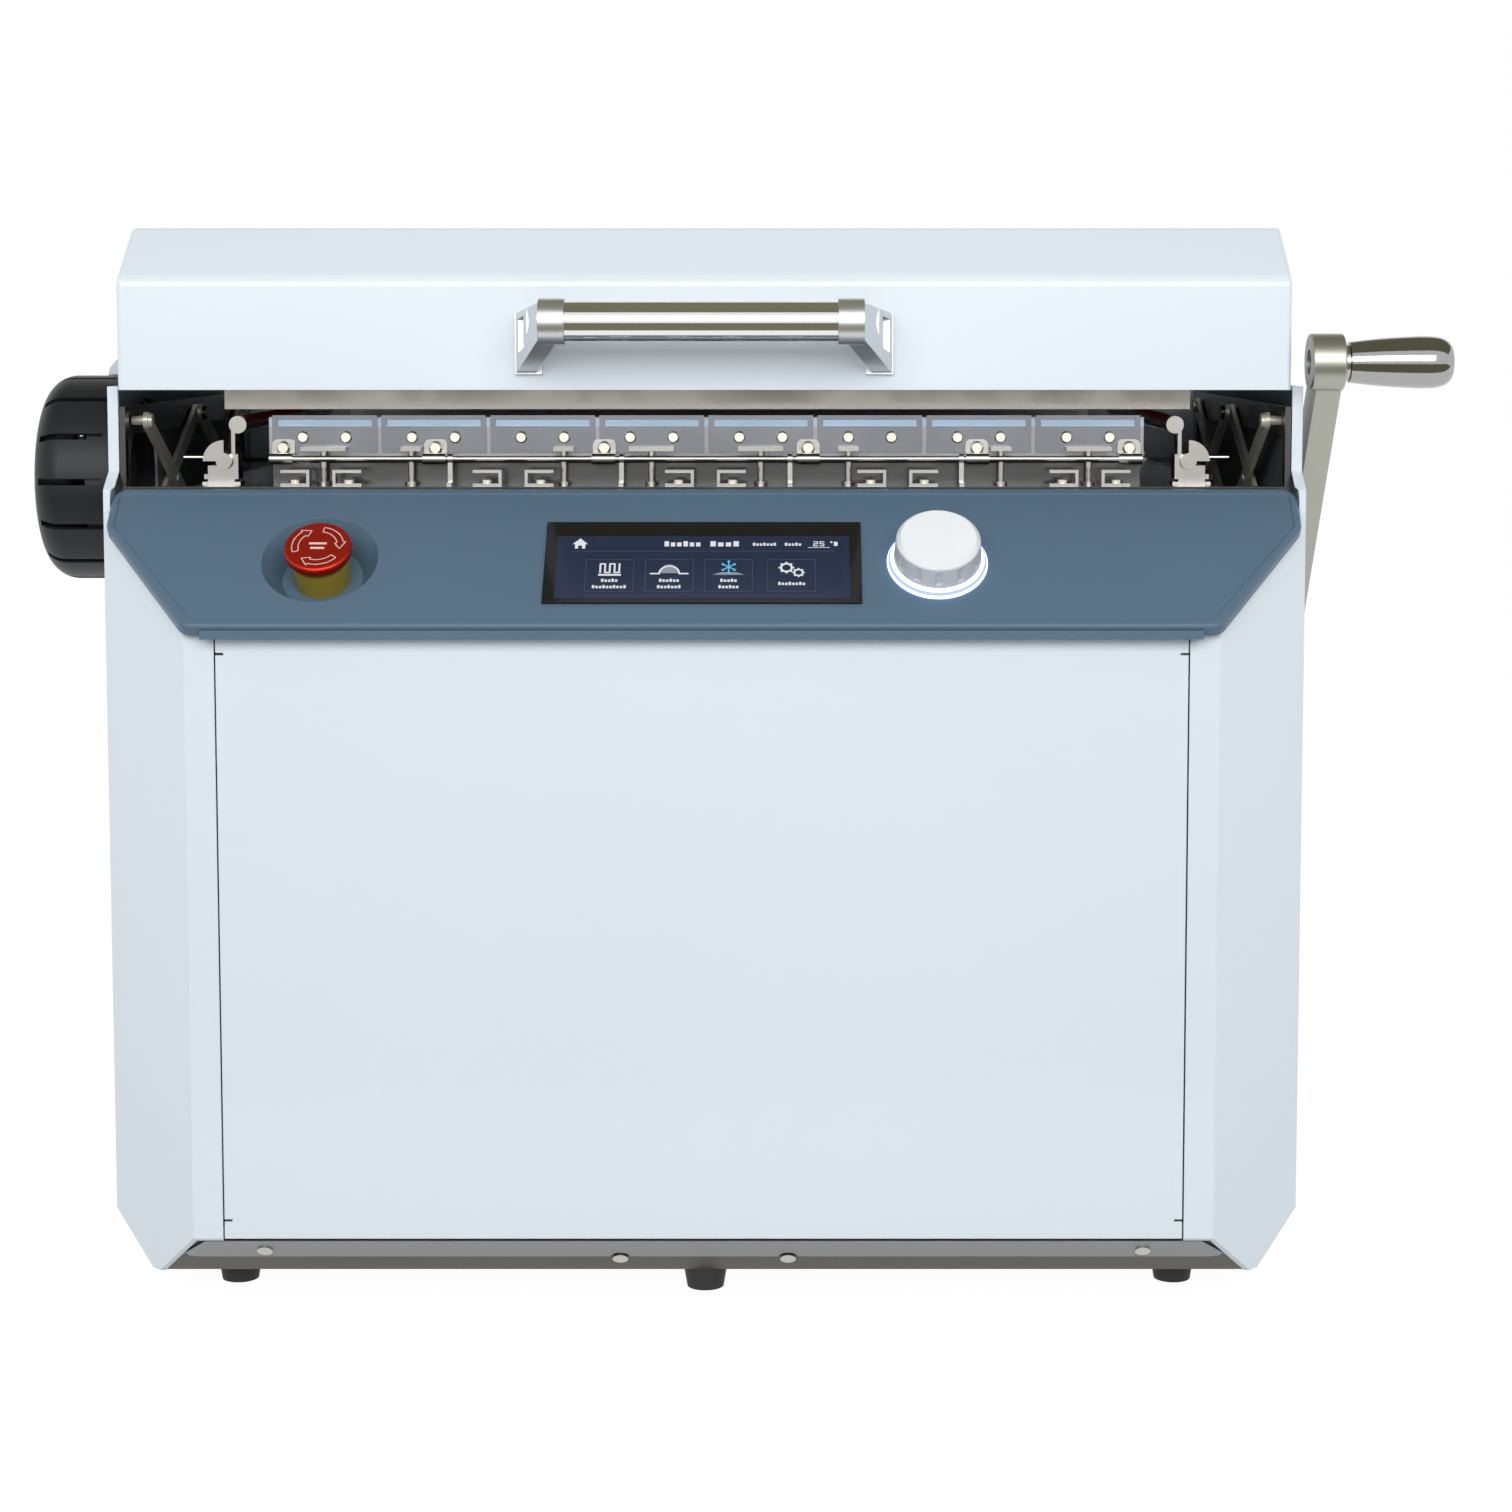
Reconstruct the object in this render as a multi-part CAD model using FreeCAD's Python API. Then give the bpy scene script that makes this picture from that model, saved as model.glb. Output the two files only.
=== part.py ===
"""Desktop vacuum former: cabinet, tilted console, heater hood, sheet carriage on
scissor links, and a crank that lowers the carriage by rack and pinion.

Millimetres. X runs to the right, Y to the back, Z up from the floor. Pieces are
drawn about the cabinet's centre line and moved to the bottom centre of the
whole machine when they are written.
"""
import math
import os

import FreeCAD
import Part

V = FreeCAD.Vector

# Cabinet
HALF_WIDTH = 310.0          # outer face of the side covers
FRONT_Y = -240.0            # face of the front panel
REAR_Y = 220.0              # face of the rear panel
SHEET = 1.5                 # painted sheet steel
CORNER_X = 51.0             # front corner bevel, across
CORNER_Y = 55.0             # front corner bevel, front to back
SEAM_SET = 16.0             # seam between front panel and side cover, in from the corner bevel
SEAM_X = HALF_WIDTH - CORNER_X - SEAM_SET
SEAM_GAP = 0.8
FOOT_HEIGHT, FOOT_R, FOOT_TAPER = 12.0, 11.5, 2.0
FOOT_SET_X, FOOT_SET_FRONT, FOOT_SET_REAR = 65.5, 50.0, 35.0
MIDDLE_FOOT_SET = 37.0
FLOOR_THICK = 2.0           # base tray
SKIRT_TOP = 36.0            # where the bottom bevels start
SKIRT_INSET = 24.0          # how far the bottom bevels run inwards
LIP_START, LIP_END = 2.0, 13.5       # grey lip on the front bevel, measured down from its top
LIP_SLANT, LIP_NIP = 4.0, 3.0
BASE_SCREW_R, BASE_SCREW_X, LOW_SCREW_X = 4.0, HALF_WIDTH - 86.0, 43.0
WALL_TOP = 466.5            # top of the side covers
PANEL_TOP = WALL_TOP - 126.5         # top of the front panel
PANEL_FLANGE, RELIEF = 16.0, 1.2
STEP_LOW, STEP_HIGH = WALL_TOP - 52.9, WALL_TOP - 43.8   # slanted step on the front edge of the side covers
STEP_BACK = 14.0
EAR_HIGH, EAR_OUT, EAR_SET, EAR_LONG = 19.5, 17.0, 5.0, 45.0   # ear on the left cover, above and behind the fan
EDGE_FLANGE = 5.5
INNER_WALL = 3.5
INNER_FACE = HALF_WIDTH - SHEET - INNER_WALL
INNER_LOW, INNER_SET = WALL_TOP - 166.5, 75.0  # inner walls: lower edge and set-back
INLET_PROUD = 2.0
INLET_X, INLET_Z = 130.0 - HALF_WIDTH, 80.0
INLET_W, INLET_H, INLET_DEEP = 60.0, 34.0, 26.0
VENT_COUNT, VENT_X, VENT_PITCH, VENT_W = 8, 60.0, 22.0, 6.0
VENT_LOW, VENT_HIGH = 250.0, 330.0

# Console
CONSOLE_TOP_Y, CONSOLE_TOP_Z = FRONT_Y + 63.0, WALL_TOP - 52.5
CONSOLE_LIP_Y, CONSOLE_LIP_Z = FRONT_Y - 10.0, CONSOLE_TOP_Z - 65.0
CONSOLE_HALF = HALF_WIDTH - 4.0
CONSOLE_LIP_HALF = HALF_WIDTH - 52.0
CONSOLE_SIDE = 28.0         # straight part of the console's sides
CONSOLE_THICK = 3.0
CONSOLE_DEEP = 6.0          # depth of the console's turned-in edge
CONSOLE_DROP = 6.0          # upright lip below the slope
CONSOLE_WALL = 2.5
CONSOLE_ROUND = 9.0         # corners of the console's outline
RIM_UP, RIM_WIDE, RIM_SOFT = 0.8, 4.0, 2.4   # raised soft rim round the console's face
SCREEN_W, SCREEN_H, SCREEN_THICK = 160.0, 56.0, 1.6
SCREEN_S = 54.0             # centres, measured down the slope from the top edge
STOP_X, STOP_S = -194.0, 51.0
STOP_RECESS_R, STOP_RECESS_DEPTH, STOP_BOWL = 29.5, 14.0, 9.0
STOP_HEAD_R, STOP_HEAD_H = 17.0, 4.5
STOP_COLLAR_R, STOP_COLLAR_H = 14.5, 15.0
STOP_STEM_R, STOP_STEM_LOW, STOP_SOCKET = 5.0, 44.0, 2.5
STOP_BARREL_LOW = 36.0
STOP_BLOCK_W, STOP_BLOCK_H = 30.0, 14.0      # contact block behind the console
STOP_TRAVEL = 4.0
KNOB_X, KNOB_S = 118.5, 53.0
KNOB_R, KNOB_H, KNOB_GROOVES = 21.3, 11.5, 12
RING_R, RING_H = 25.5, 3.0
KNOB_TRAVEL = 0.8
SHAFT_R = 3.0

# Hood
HOOD_HALF = HALF_WIDTH - 8.5
HOOD_FRONT_Y, HOOD_REAR_Y = FRONT_Y + CORNER_Y, REAR_Y - 15.0
HOOD_LOW, HOOD_HEIGHT = WALL_TOP - 1.5, 84.0
HOOD_TOP = HOOD_LOW + HOOD_HEIGHT
HOOD_BEND = HOOD_TOP - 27.0
HOOD_SLOPE = 40.0
HOOD_SHEET = 2.0
HOOD_ROUND, HOOD_END_ROUND = 7.0, 2.5
HINGE_Y, HINGE_Z = HOOD_REAR_Y + 8.0, HOOD_LOW + 9.0
HINGE_X, HINGE_PIN_R, HINGE_BARREL_R = HOOD_HALF - 101.5, 3.0, 6.0
HINGE_LENGTH, HINGE_LEAF, HINGE_LEAF_T, HINGE_STRAP = 60.0, 18.0, 4.0, 40.0
TRAY_HALF, TRAY_FRONT, TRAY_REAR = HOOD_HALF - 44.5, -130.0, 150.0
TRAY_LOW, TRAY_HIGH = HOOD_LOW - 11.5, HOOD_TOP - 37.0
TRAY_WALL = 1.0
HANGER_X, HANGER_W, HANGER_SET = 100.0, 25.0, 40.0
TUBE_COUNT, TUBE_R, TUBE_Z = 6, 6.0, TRAY_LOW + 20.5
TUBE_CAP, TUBE_CAP_R = 21.0, 8.5
HANDLE_Y, HANDLE_Z, HANDLE_R = HOOD_FRONT_Y - 46.0, HOOD_LOW + 35.0, 10.0
HANDLE_HALF, HANDLE_WALL, HANDLE_BOSS = 68.0, 2.0, 13.0
BRACKET_OUT, BRACKET_LOW, BRACKET_HIGH = 16.0, HANDLE_Z - 27.0, HANDLE_Z + 4.0  # at the hood's face
BRACKET_WALL, BRACKET_SHELF = 4.0, 10.0

# Sheet carriage
SHEET_Z = WALL_TOP - 35.5   # plane of the clamped sheet
SIDE_BAY = 80.0             # from the side of the clamp to the outside of the cabinet
CLAMP_HALF, CLAMP_FRONT, CLAMP_REAR = HALF_WIDTH - SIDE_BAY, -150.0, 150.0
WINDOW_X, WINDOW_Y = CLAMP_HALF - 35.0, 115.0
RIM_W = 17.0                # raised rim round the sheet window
SEAL_SET, SEAL_THICK = 3.0, 3.0
CARRIAGE_X, CARRIAGE_FRONT, CARRIAGE_REAR = CLAMP_HALF + 38.0, CLAMP_FRONT - 21.0, CLAMP_REAR + 27.0
ARM_W = 7.0                 # corner arms that carry the scissor rails
LOWER_TOP, LOWER_THICK = SHEET_Z - 16.5, 3.0
UPPER_LOW, UPPER_THICK = SHEET_Z + SEAL_THICK, 2.0
PLATE_LOW, PLATE_HIGH = SHEET_Z - 1.5, SHEET_Z + 20.0
PLATE_THICK = 1.5
GRIP_COUNT, GRIP_GAP = 8, 2.3
GRIP_PITCH = (2 * CLAMP_HALF - 1.6) / GRIP_COUNT
GRIP_W, GRIP_SLOT_W = GRIP_PITCH - GRIP_GAP, GRIP_PITCH - 7.9
GRIP_SLOT_LOW, GRIP_SLOT_HIGH = SHEET_Z + 14.3, SHEET_Z + 18.0
GRIP_SCREW_X, GRIP_SCREW_Z, GRIP_SCREW_R = 11.3, SHEET_Z + 8.5, 3.2
LONG_TABS = (0, 3, 4, 7)    # grips with a wide clip; the others carry a narrow one
LONG_TAB, SHORT_TAB, TAB_DEEP = 11.8, 5.3, 7.0
TAB_STEM_R, TAB_STEM_SET = 1.7, 4.0
RAIL_PAIR_PITCH, RAIL_PAIRS = CLAMP_HALF / 2.3, 5
RAIL_NEAR, RAIL_FAR, RAIL_DEEP, RAIL_HIGH = 6.0, 21.0, 8.0, 8.7
FRONT_ROD_R, FRONT_ROD_SET, FRONT_ROD_Z = 1.6, 8.5, SHEET_Z - 2.5     # rod along the front of the clamp
LUG_AT = (-3.875, -2.48, -0.934, 0.934, 2.48, 3.875)        # in grip widths from the middle
LUG_W, LUG_LOW, LUG_HIGH = 12.0, SHEET_Z - 5.5, SHEET_Z + 7.4
LUG_SCREW_R, LUG_SCREW_Z = 3.6, SHEET_Z + 3.0
HOOK_AT, HOOK_W = (-2.33, -0.768, 0.768, 2.33), 2.4
EYE_R = 3.0
REST_RAIL_T, REST_RAIL_TOP = 3.0, SHEET_Z - 5.1
SIDE_TUBE_X, SIDE_TUBE_Z, SIDE_TUBE_R = CLAMP_HALF + 16.5, SHEET_Z + 15.0, 4.6
END_X, CAM_R, CAM_Z = CLAMP_HALF + 24.5, 11.0, SHEET_Z - 4.0
END_DEEP, END_HIGH, END_STEP = 14.0, 16.0, 10.0  # end bracket: depth, heights of block and step

# Scissor links
PIVOT_Y, PIVOT_Z = 3.0, SHEET_Z + 17.0
PIVOT_PITCH = 146.0
LINK_ANGLE = 25.0           # degrees above level, as photographed
LINK_W, LINK_T = 9.0, 2.5
RAIL_X, RAIL_T = INNER_FACE - 4.0, 3.0
LAYER_X = (RAIL_X - 3.5, RAIL_X - 6.5)    # inner faces of the two link layers
PIN_R, PIN_CLEAR, OPEN_CLEAR = 2.5, 0.05, 0.9
CARRIAGE_TRAVEL = 45.0

# Crank and drive
CRANK_Y, CRANK_Z = -55.0, SHEET_Z - 105.0
CRANK_LENGTH, CRANK_LEAN = 200.0, 40.0
ARM_X, ARM_T = HALF_WIDTH + 3.0, 15.0
BOSS_R, HUB_R = 14.7, 18.0
BOSS_PROUD, BOSS_RECESS_R, BOSS_RECESS, BOSS_EASE = 2.4, 6.5, 4.0, 1.2
GRIP_R, GRIP_LENGTH, GRIP_COLLAR = 13.5, 53.0, 3.0
SPINDLE_R = 4.0
DRIVE_R = 6.0
MODULE, TEETH, BACKLASH = 1.5, 16, 0.35
PINION_X, PINION_W = CARRIAGE_X + 1.0, 10.0

# Forming table
TABLE_TOP, TABLE_THICK = SHEET_Z - 47.0, 8.0
TABLE_GAP = 5.0
HOLE_R, HOLE_COLUMNS, HOLE_ROWS = 2.0, 7, 4
BOX_LOW, BOX_SET, BOX_WALL = TABLE_TOP - 44.0, 10.0, 3.0
LEG_W, LEG_SET = 20.0, 10.0
PUMP_X, PUMP_Y, PUMP_R, PUMP_LENGTH = -40.0, 30.0, 40.0, 110.0
PUMP_CAP_R, PUMP_CAP = 32.0, 25.0
PIPE_X, PIPE_R, PIPE_WALL = 60.0, 8.0, 2.0
BOARD_X, BOARD_Z, BOARD_W, BOARD_H, BOARD_T = HALF_WIDTH - 250.0, 110.0, 160.0, 120.0, 2.0
BOARD_STAND, BOARD_POST_R, BOARD_POST_SET = 6.0, 3.0, 10.0

# Fan on the left side
FAN_Y, FAN_Z, FAN_R = -100.0, SHEET_Z - 15.0, 55.0
FAN_OUT, FAN_HOUSING_OUT = 46.0, 17.0
FAN_SLATS, FAN_WALL = 14, 2.5

RUN = 0.05                  # radial running clearance
GAP = 0.5                   # clearance between parts that only pass each other
SEAT = 0.2                  # gap left where a piece rests against a slope

# Bottom centre of the whole machine
CRANK_END = ARM_X + ARM_T + GRIP_COLLAR + GRIP_LENGTH
ORIGIN = V((CRANK_END - HALF_WIDTH - FAN_OUT) / 2, (CONSOLE_LIP_Y + REAR_Y + INLET_PROUD) / 2, 0)

PARTS = os.path.join(os.path.dirname(os.path.abspath(__file__)), "parts")


def box(x0, y0, z0, x1, y1, z1):
    return Part.makeBox(x1 - x0, y1 - y0, z1 - z0, V(x0, y0, z0))


def rod(start, end, radius):
    start, end = V(*start), V(*end)
    return Part.makeCylinder(radius, (end - start).Length, start, end - start)


def tube(start, end, outer, inner):
    return rod(start, end, outer).cut(rod(start, end, inner))


def prism(points, direction):
    points = [V(*p) for p in points]
    return Part.Face(Part.makePolygon(points + points[:1])).extrude(V(*direction))


def fuse(shapes):
    shapes = list(shapes)
    return shapes[0].multiFuse(shapes[1:]).removeSplitter() if len(shapes) > 1 else shapes[0]


def soften(shape, radius, chosen):
    """Round the edges for which chosen(edge) holds."""
    return shape.makeFillet(radius, [e for e in shape.Edges if chosen(e)])


def flip(shape):
    return shape.mirror(V(0, 0, 0), V(1, 0, 0))


def both(shape):
    return [shape, flip(shape)]


def side_profile(points, x0, x1):
    """Extrude an outline drawn in Y and Z between two X planes."""
    return prism([(x0, y, z) for y, z in points], (x1 - x0, 0, 0))


def write(name, shapes):
    shapes = shapes if isinstance(shapes, list) else [shapes]
    solids = [s for shape in shapes for s in shape.Solids]
    shape = solids[0] if len(solids) == 1 else Part.makeCompound(solids)
    shape = shape.copy()
    shape.translate(V(0, 0, 0) - ORIGIN)
    if not solids or not shape.isValid():
        raise ValueError(name)
    shape.exportStep(os.path.join(PARTS, name + ".step"))


# Console plane: u runs to the right, s down the slope, n outwards
SLOPE = V(0, CONSOLE_LIP_Y - CONSOLE_TOP_Y, CONSOLE_LIP_Z - CONSOLE_TOP_Z)
SLOPE_LENGTH = SLOPE.Length
S_DIR = SLOPE / SLOPE_LENGTH
N_DIR = V(0, S_DIR.z, -S_DIR.y)


def on_console(u, s, n=0.0):
    return V(u, CONSOLE_TOP_Y, CONSOLE_TOP_Z) + S_DIR * s + N_DIR * n


def console_rod(u, s, n0, n1, radius, tip_radius=None):
    start = on_console(u, s, n0)
    if tip_radius is None:
        return Part.makeCylinder(radius, n1 - n0, start, N_DIR)
    return Part.makeCone(radius, tip_radius, n1 - n0, start, N_DIR)


def console_prism(points, n0, n1):
    return prism([tuple(on_console(u, s, n0)) for u, s in points], tuple(N_DIR * (n1 - n0)))


def console_box(u, s, w, h, n0, n1):
    return console_prism([(u - w / 2, s - h / 2), (u + w / 2, s - h / 2),
                          (u + w / 2, s + h / 2), (u - w / 2, s + h / 2)], n0, n1)


def console_outline(grow):
    """Console face: a wide top with its two lower corners cut off, grown or shrunk all round."""
    top, low = -grow, SLOPE_LENGTH + grow
    wide, narrow = CONSOLE_HALF + grow, CONSOLE_LIP_HALF + grow
    return [(-wide, top), (wide, top), (wide, CONSOLE_SIDE), (narrow, low), (-narrow, low),
            (-wide, CONSOLE_SIDE)]


def console_plate(grow, n0, n1):
    """The console's outline with rounded corners, between two heights."""
    plate = console_prism(console_outline(grow), n0, n1)
    return soften(plate, CONSOLE_ROUND + grow, lambda e: abs(e.tangentAt(0).dot(N_DIR)) > 0.99)


BEVEL_LEAN = SKIRT_INSET / (SKIRT_TOP - FOOT_HEIGHT)
BUSH_R = DRIVE_R + 3.0


def hull(inset, low, high, front_set=0.0, back=REAR_Y):
    """Half of the cabinet body as a solid, set in by a wall, with both bottom bevels."""
    side, front = HALF_WIDTH - inset, FRONT_Y + inset
    plan = [(0, front, low), (side - CORNER_X, front, low),
            (side, front + CORNER_Y, low), (side, back, low), (0, back, low)]
    drop = SKIRT_TOP - low + 1
    side_wedge = prism([(side + 1, FRONT_Y - 50, SKIRT_TOP), (side + 1, FRONT_Y - 50, low - 1),
                        (side - BEVEL_LEAN * drop, FRONT_Y - 50, low - 1), (side, FRONT_Y - 50, SKIRT_TOP)],
                       (0, REAR_Y - FRONT_Y + 100, 0))
    face = FRONT_Y + front_set
    front_wedge = prism([(-1, face - 20, SKIRT_TOP), (-1, face - 20, low - 1),
                         (-1, face + BEVEL_LEAN * drop, low - 1), (-1, face, SKIRT_TOP)],
                        (HALF_WIDTH + 2, 0, 0))
    return prism(plan, (0, 0, high - low)).cut([side_wedge, front_wedge])


def side_cover(hole_radius, hole_y, hole_z):
    """Right-hand side cover: folded wall, front corner, bottom bevel and stepped front edge."""
    corner_top = CONSOLE_TOP_Z - 8
    lower = hull(0, FOOT_HEIGHT, corner_top).cut(hull(SHEET, FOOT_HEIGHT - 5, corner_top + 5, 0.0, REAR_Y + 10))
    above_console = console_box(0, SLOPE_LENGTH / 2, 4 * HALF_WIDTH, 4 * SLOPE_LENGTH, -CONSOLE_THICK, 200)
    lower = lower.cut([box(-1, FRONT_Y - 5, 0, SEAM_X + SEAM_GAP, REAR_Y + 5, corner_top + 5), above_console])
    front = FRONT_Y + CORNER_Y
    step = [(front, PANEL_TOP), (front, STEP_LOW), (front + STEP_BACK, STEP_HIGH),
            (front + STEP_BACK, WALL_TOP)]
    wall = side_profile(step + [(REAR_Y, WALL_TOP), (REAR_Y, PANEL_TOP)], HALF_WIDTH - SHEET, HALF_WIDTH)
    flange = side_profile(step + [(y + SHEET, z) for y, z in reversed(step)],
                          HALF_WIDTH - EDGE_FLANGE, HALF_WIDTH - SHEET)
    bore = rod((HALF_WIDTH - 5, hole_y, hole_z), (HALF_WIDTH + 5, hole_y, hole_z), hole_radius)
    room = console_plate(GAP, -CONSOLE_DEEP - GAP, CONSOLE_DEEP)
    return fuse([lower, wall, flange]).cut([room, bore])


def cabinet():
    write("side_cover_right", side_cover(BUSH_R, CRANK_Y, CRANK_Z))
    inside, ear_x, ear_z = HALF_WIDTH - SHEET, HALF_WIDTH + EAR_OUT, WALL_TOP + EAR_HIGH
    ear = [(inside, FAN_Z), (inside, ear_z), (HALF_WIDTH + 1, ear_z),
           (ear_x - 0.35 * EAR_OUT, ear_z - 0.3 * EAR_HIGH),
           (ear_x - 0.1 * EAR_OUT, ear_z - 0.55 * EAR_HIGH), (ear_x, ear_z - 0.85 * EAR_HIGH), (ear_x, FAN_Z)]
    ear = prism([(x, FAN_Y + EAR_SET, z) for x, z in ear], (0, EAR_LONG, 0)).cut(
        rod((HALF_WIDTH - 10, FAN_Y, FAN_Z), (HALF_WIDTH + FAN_OUT, FAN_Y, FAN_Z), FAN_R + GAP))
    write("side_cover_left", flip(fuse([side_cover(FAN_BORE, FAN_Y, FAN_Z), ear])))

    flange_low, flange_high = SKIRT_TOP + 10, PANEL_TOP - 6
    behind_lip = CONSOLE_LIP_Z + ((FRONT_Y - CONSOLE_LIP_Y) * N_DIR.y + CONSOLE_THICK) / -N_DIR.z
    front = box(-SEAM_X, FRONT_Y, SKIRT_TOP, SEAM_X, FRONT_Y + SHEET, behind_lip - SEAT)
    flange = box(SEAM_X - SHEET, FRONT_Y + SHEET, flange_low, SEAM_X, FRONT_Y + PANEL_FLANGE, flange_high)
    reliefs = [box(SEAM_X - 4, FRONT_Y - 1, z, SEAM_X + 1, FRONT_Y + SHEET + 1, z + RELIEF)
               for z in (flange_low - RELIEF, flange_high)]
    write("front_panel", fuse([front] + both(flange)).cut([c for r in reliefs for c in both(r)]))

    floor = FLOOR_THICK
    tray = hull(SHEET, FOOT_HEIGHT, SKIRT_TOP + 6, SHEET, REAR_Y - SHEET).cut(
        hull(SHEET + floor, FOOT_HEIGHT + floor, SKIRT_TOP + 12, SHEET + floor, REAR_Y - SHEET - floor))
    write("base_tray", fuse(both(tray)))

    def on_bevel(x, down):
        return (x, FRONT_Y + BEVEL_LEAN * down, SKIRT_TOP - down)

    def lip_half(down):
        return HALF_WIDTH - SHEET - CORNER_X + (BEVEL_LEAN * down - SHEET) * CORNER_X / CORNER_Y - GAP
    half_top, half_low = lip_half(LIP_START) - LIP_SLANT, lip_half(LIP_END - LIP_NIP)
    right = [(half_top, LIP_START), (half_low, LIP_END - LIP_NIP),
             (half_low - LIP_NIP / 2, LIP_END - LIP_NIP / 4),
             (half_low - 2 * LIP_NIP, LIP_END)]
    lip = prism([on_bevel(x, d) for x, d in right] + [on_bevel(-x, d) for x, d in reversed(right)],
                (0, SHEET, 0))
    out = V(0, -1, -BEVEL_LEAN).normalize()

    def bevel_rod(x, down, inner, outer, radius):
        at = V(*on_bevel(x, down))
        return Part.makeCylinder(radius, outer - inner, at + out * inner, out)
    low_screw = LIP_END + 1.0
    notches = [bevel_rod(x, low_screw, -8, 8, BASE_SCREW_R + 1.5) for x in (-LOW_SCREW_X, LOW_SCREW_X)]
    write("front_skirt", lip.cut(notches))
    behind = -SHEET / math.sqrt(1 + BEVEL_LEAN ** 2)
    lifted = both(bevel_rod(BASE_SCREW_X, (LIP_START + LIP_END) / 2, 0, 1.4, BASE_SCREW_R))
    write("base_screws", lifted + both(bevel_rod(LOW_SCREW_X, low_screw, behind, behind + 1.8, BASE_SCREW_R)))

    foot = Part.makeCone(FOOT_R - FOOT_TAPER, FOOT_R, FOOT_HEIGHT)
    foot_x, foot_y = HALF_WIDTH - FOOT_SET_X, (FRONT_Y + FOOT_SET_FRONT, REAR_Y - FOOT_SET_REAR)
    spots = [(x, y) for y in foot_y for x in (-foot_x, foot_x)]
    spots += [(0, FRONT_Y + MIDDLE_FOOT_SET), (0, foot_y[1])]
    feet = []
    for x, y in spots:
        feet.append(foot.copy())
        feet[-1].translate(V(x, y, 0))
    write("rubber_feet", feet)

    back = box(-HALF_WIDTH + SHEET, REAR_Y - SHEET, SKIRT_TOP, HALF_WIDTH - SHEET, REAR_Y, WALL_TOP)
    vents = [box(VENT_X + VENT_PITCH * i, REAR_Y - 5, VENT_LOW, VENT_X + VENT_PITCH * i + VENT_W, REAR_Y + 5,
                 VENT_HIGH)
             for i in range(VENT_COUNT)]
    half_w, half_h = INLET_W / 2, INLET_H / 2

    def inlet_box(side, y0, y1):
        return box(INLET_X - half_w + side, y0, INLET_Z - half_h + side * 0.7, INLET_X + half_w - side, y1,
                   INLET_Z + half_h - side * 0.7)
    write("rear_panel", back.cut(vents + [inlet_box(6.0, REAR_Y - 5, REAR_Y + 5)]))
    inlet = fuse([inlet_box(0, REAR_Y, REAR_Y + INLET_PROUD),
                  inlet_box(6.0 + GAP, REAR_Y - INLET_DEEP, REAR_Y)])
    socket_deep = INLET_DEEP - 6.0
    inlet = inlet.cut(inlet_box(half_w - 13.0, REAR_Y - socket_deep, REAR_Y + 5))
    pins = [box(INLET_X + x - 1, REAR_Y - socket_deep, INLET_Z + z - 2, INLET_X + x + 1, REAR_Y - 4,
                INLET_Z + z + 2)
            for x, z in ((-7, -1), (0, 1), (7, -1))]
    write("power_inlet", fuse([inlet] + pins))

    wall_x = HALF_WIDTH - SHEET
    wall_front, wall_back = FRONT_Y + INNER_SET, REAR_Y - SHEET - 6
    wall = side_profile([(wall_front, INNER_LOW), (wall_front, WALL_TOP - 2), (wall_back, WALL_TOP - 2),
                         (wall_back, INNER_LOW)],
                        wall_x - INNER_WALL, wall_x)
    bush_hole = rod((wall_x - 10, CRANK_Y, CRANK_Z), (wall_x + 10, CRANK_Y, CRANK_Z), BUSH_R)
    fan_hole = rod((-wall_x - 10, FAN_Y, FAN_Z), (-wall_x + 10, FAN_Y, FAN_Z), FAN_BORE)
    write("inner_walls", [wall.cut(bush_hole), flip(wall.cut(bush_hole)).cut(fan_hole)])


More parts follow.
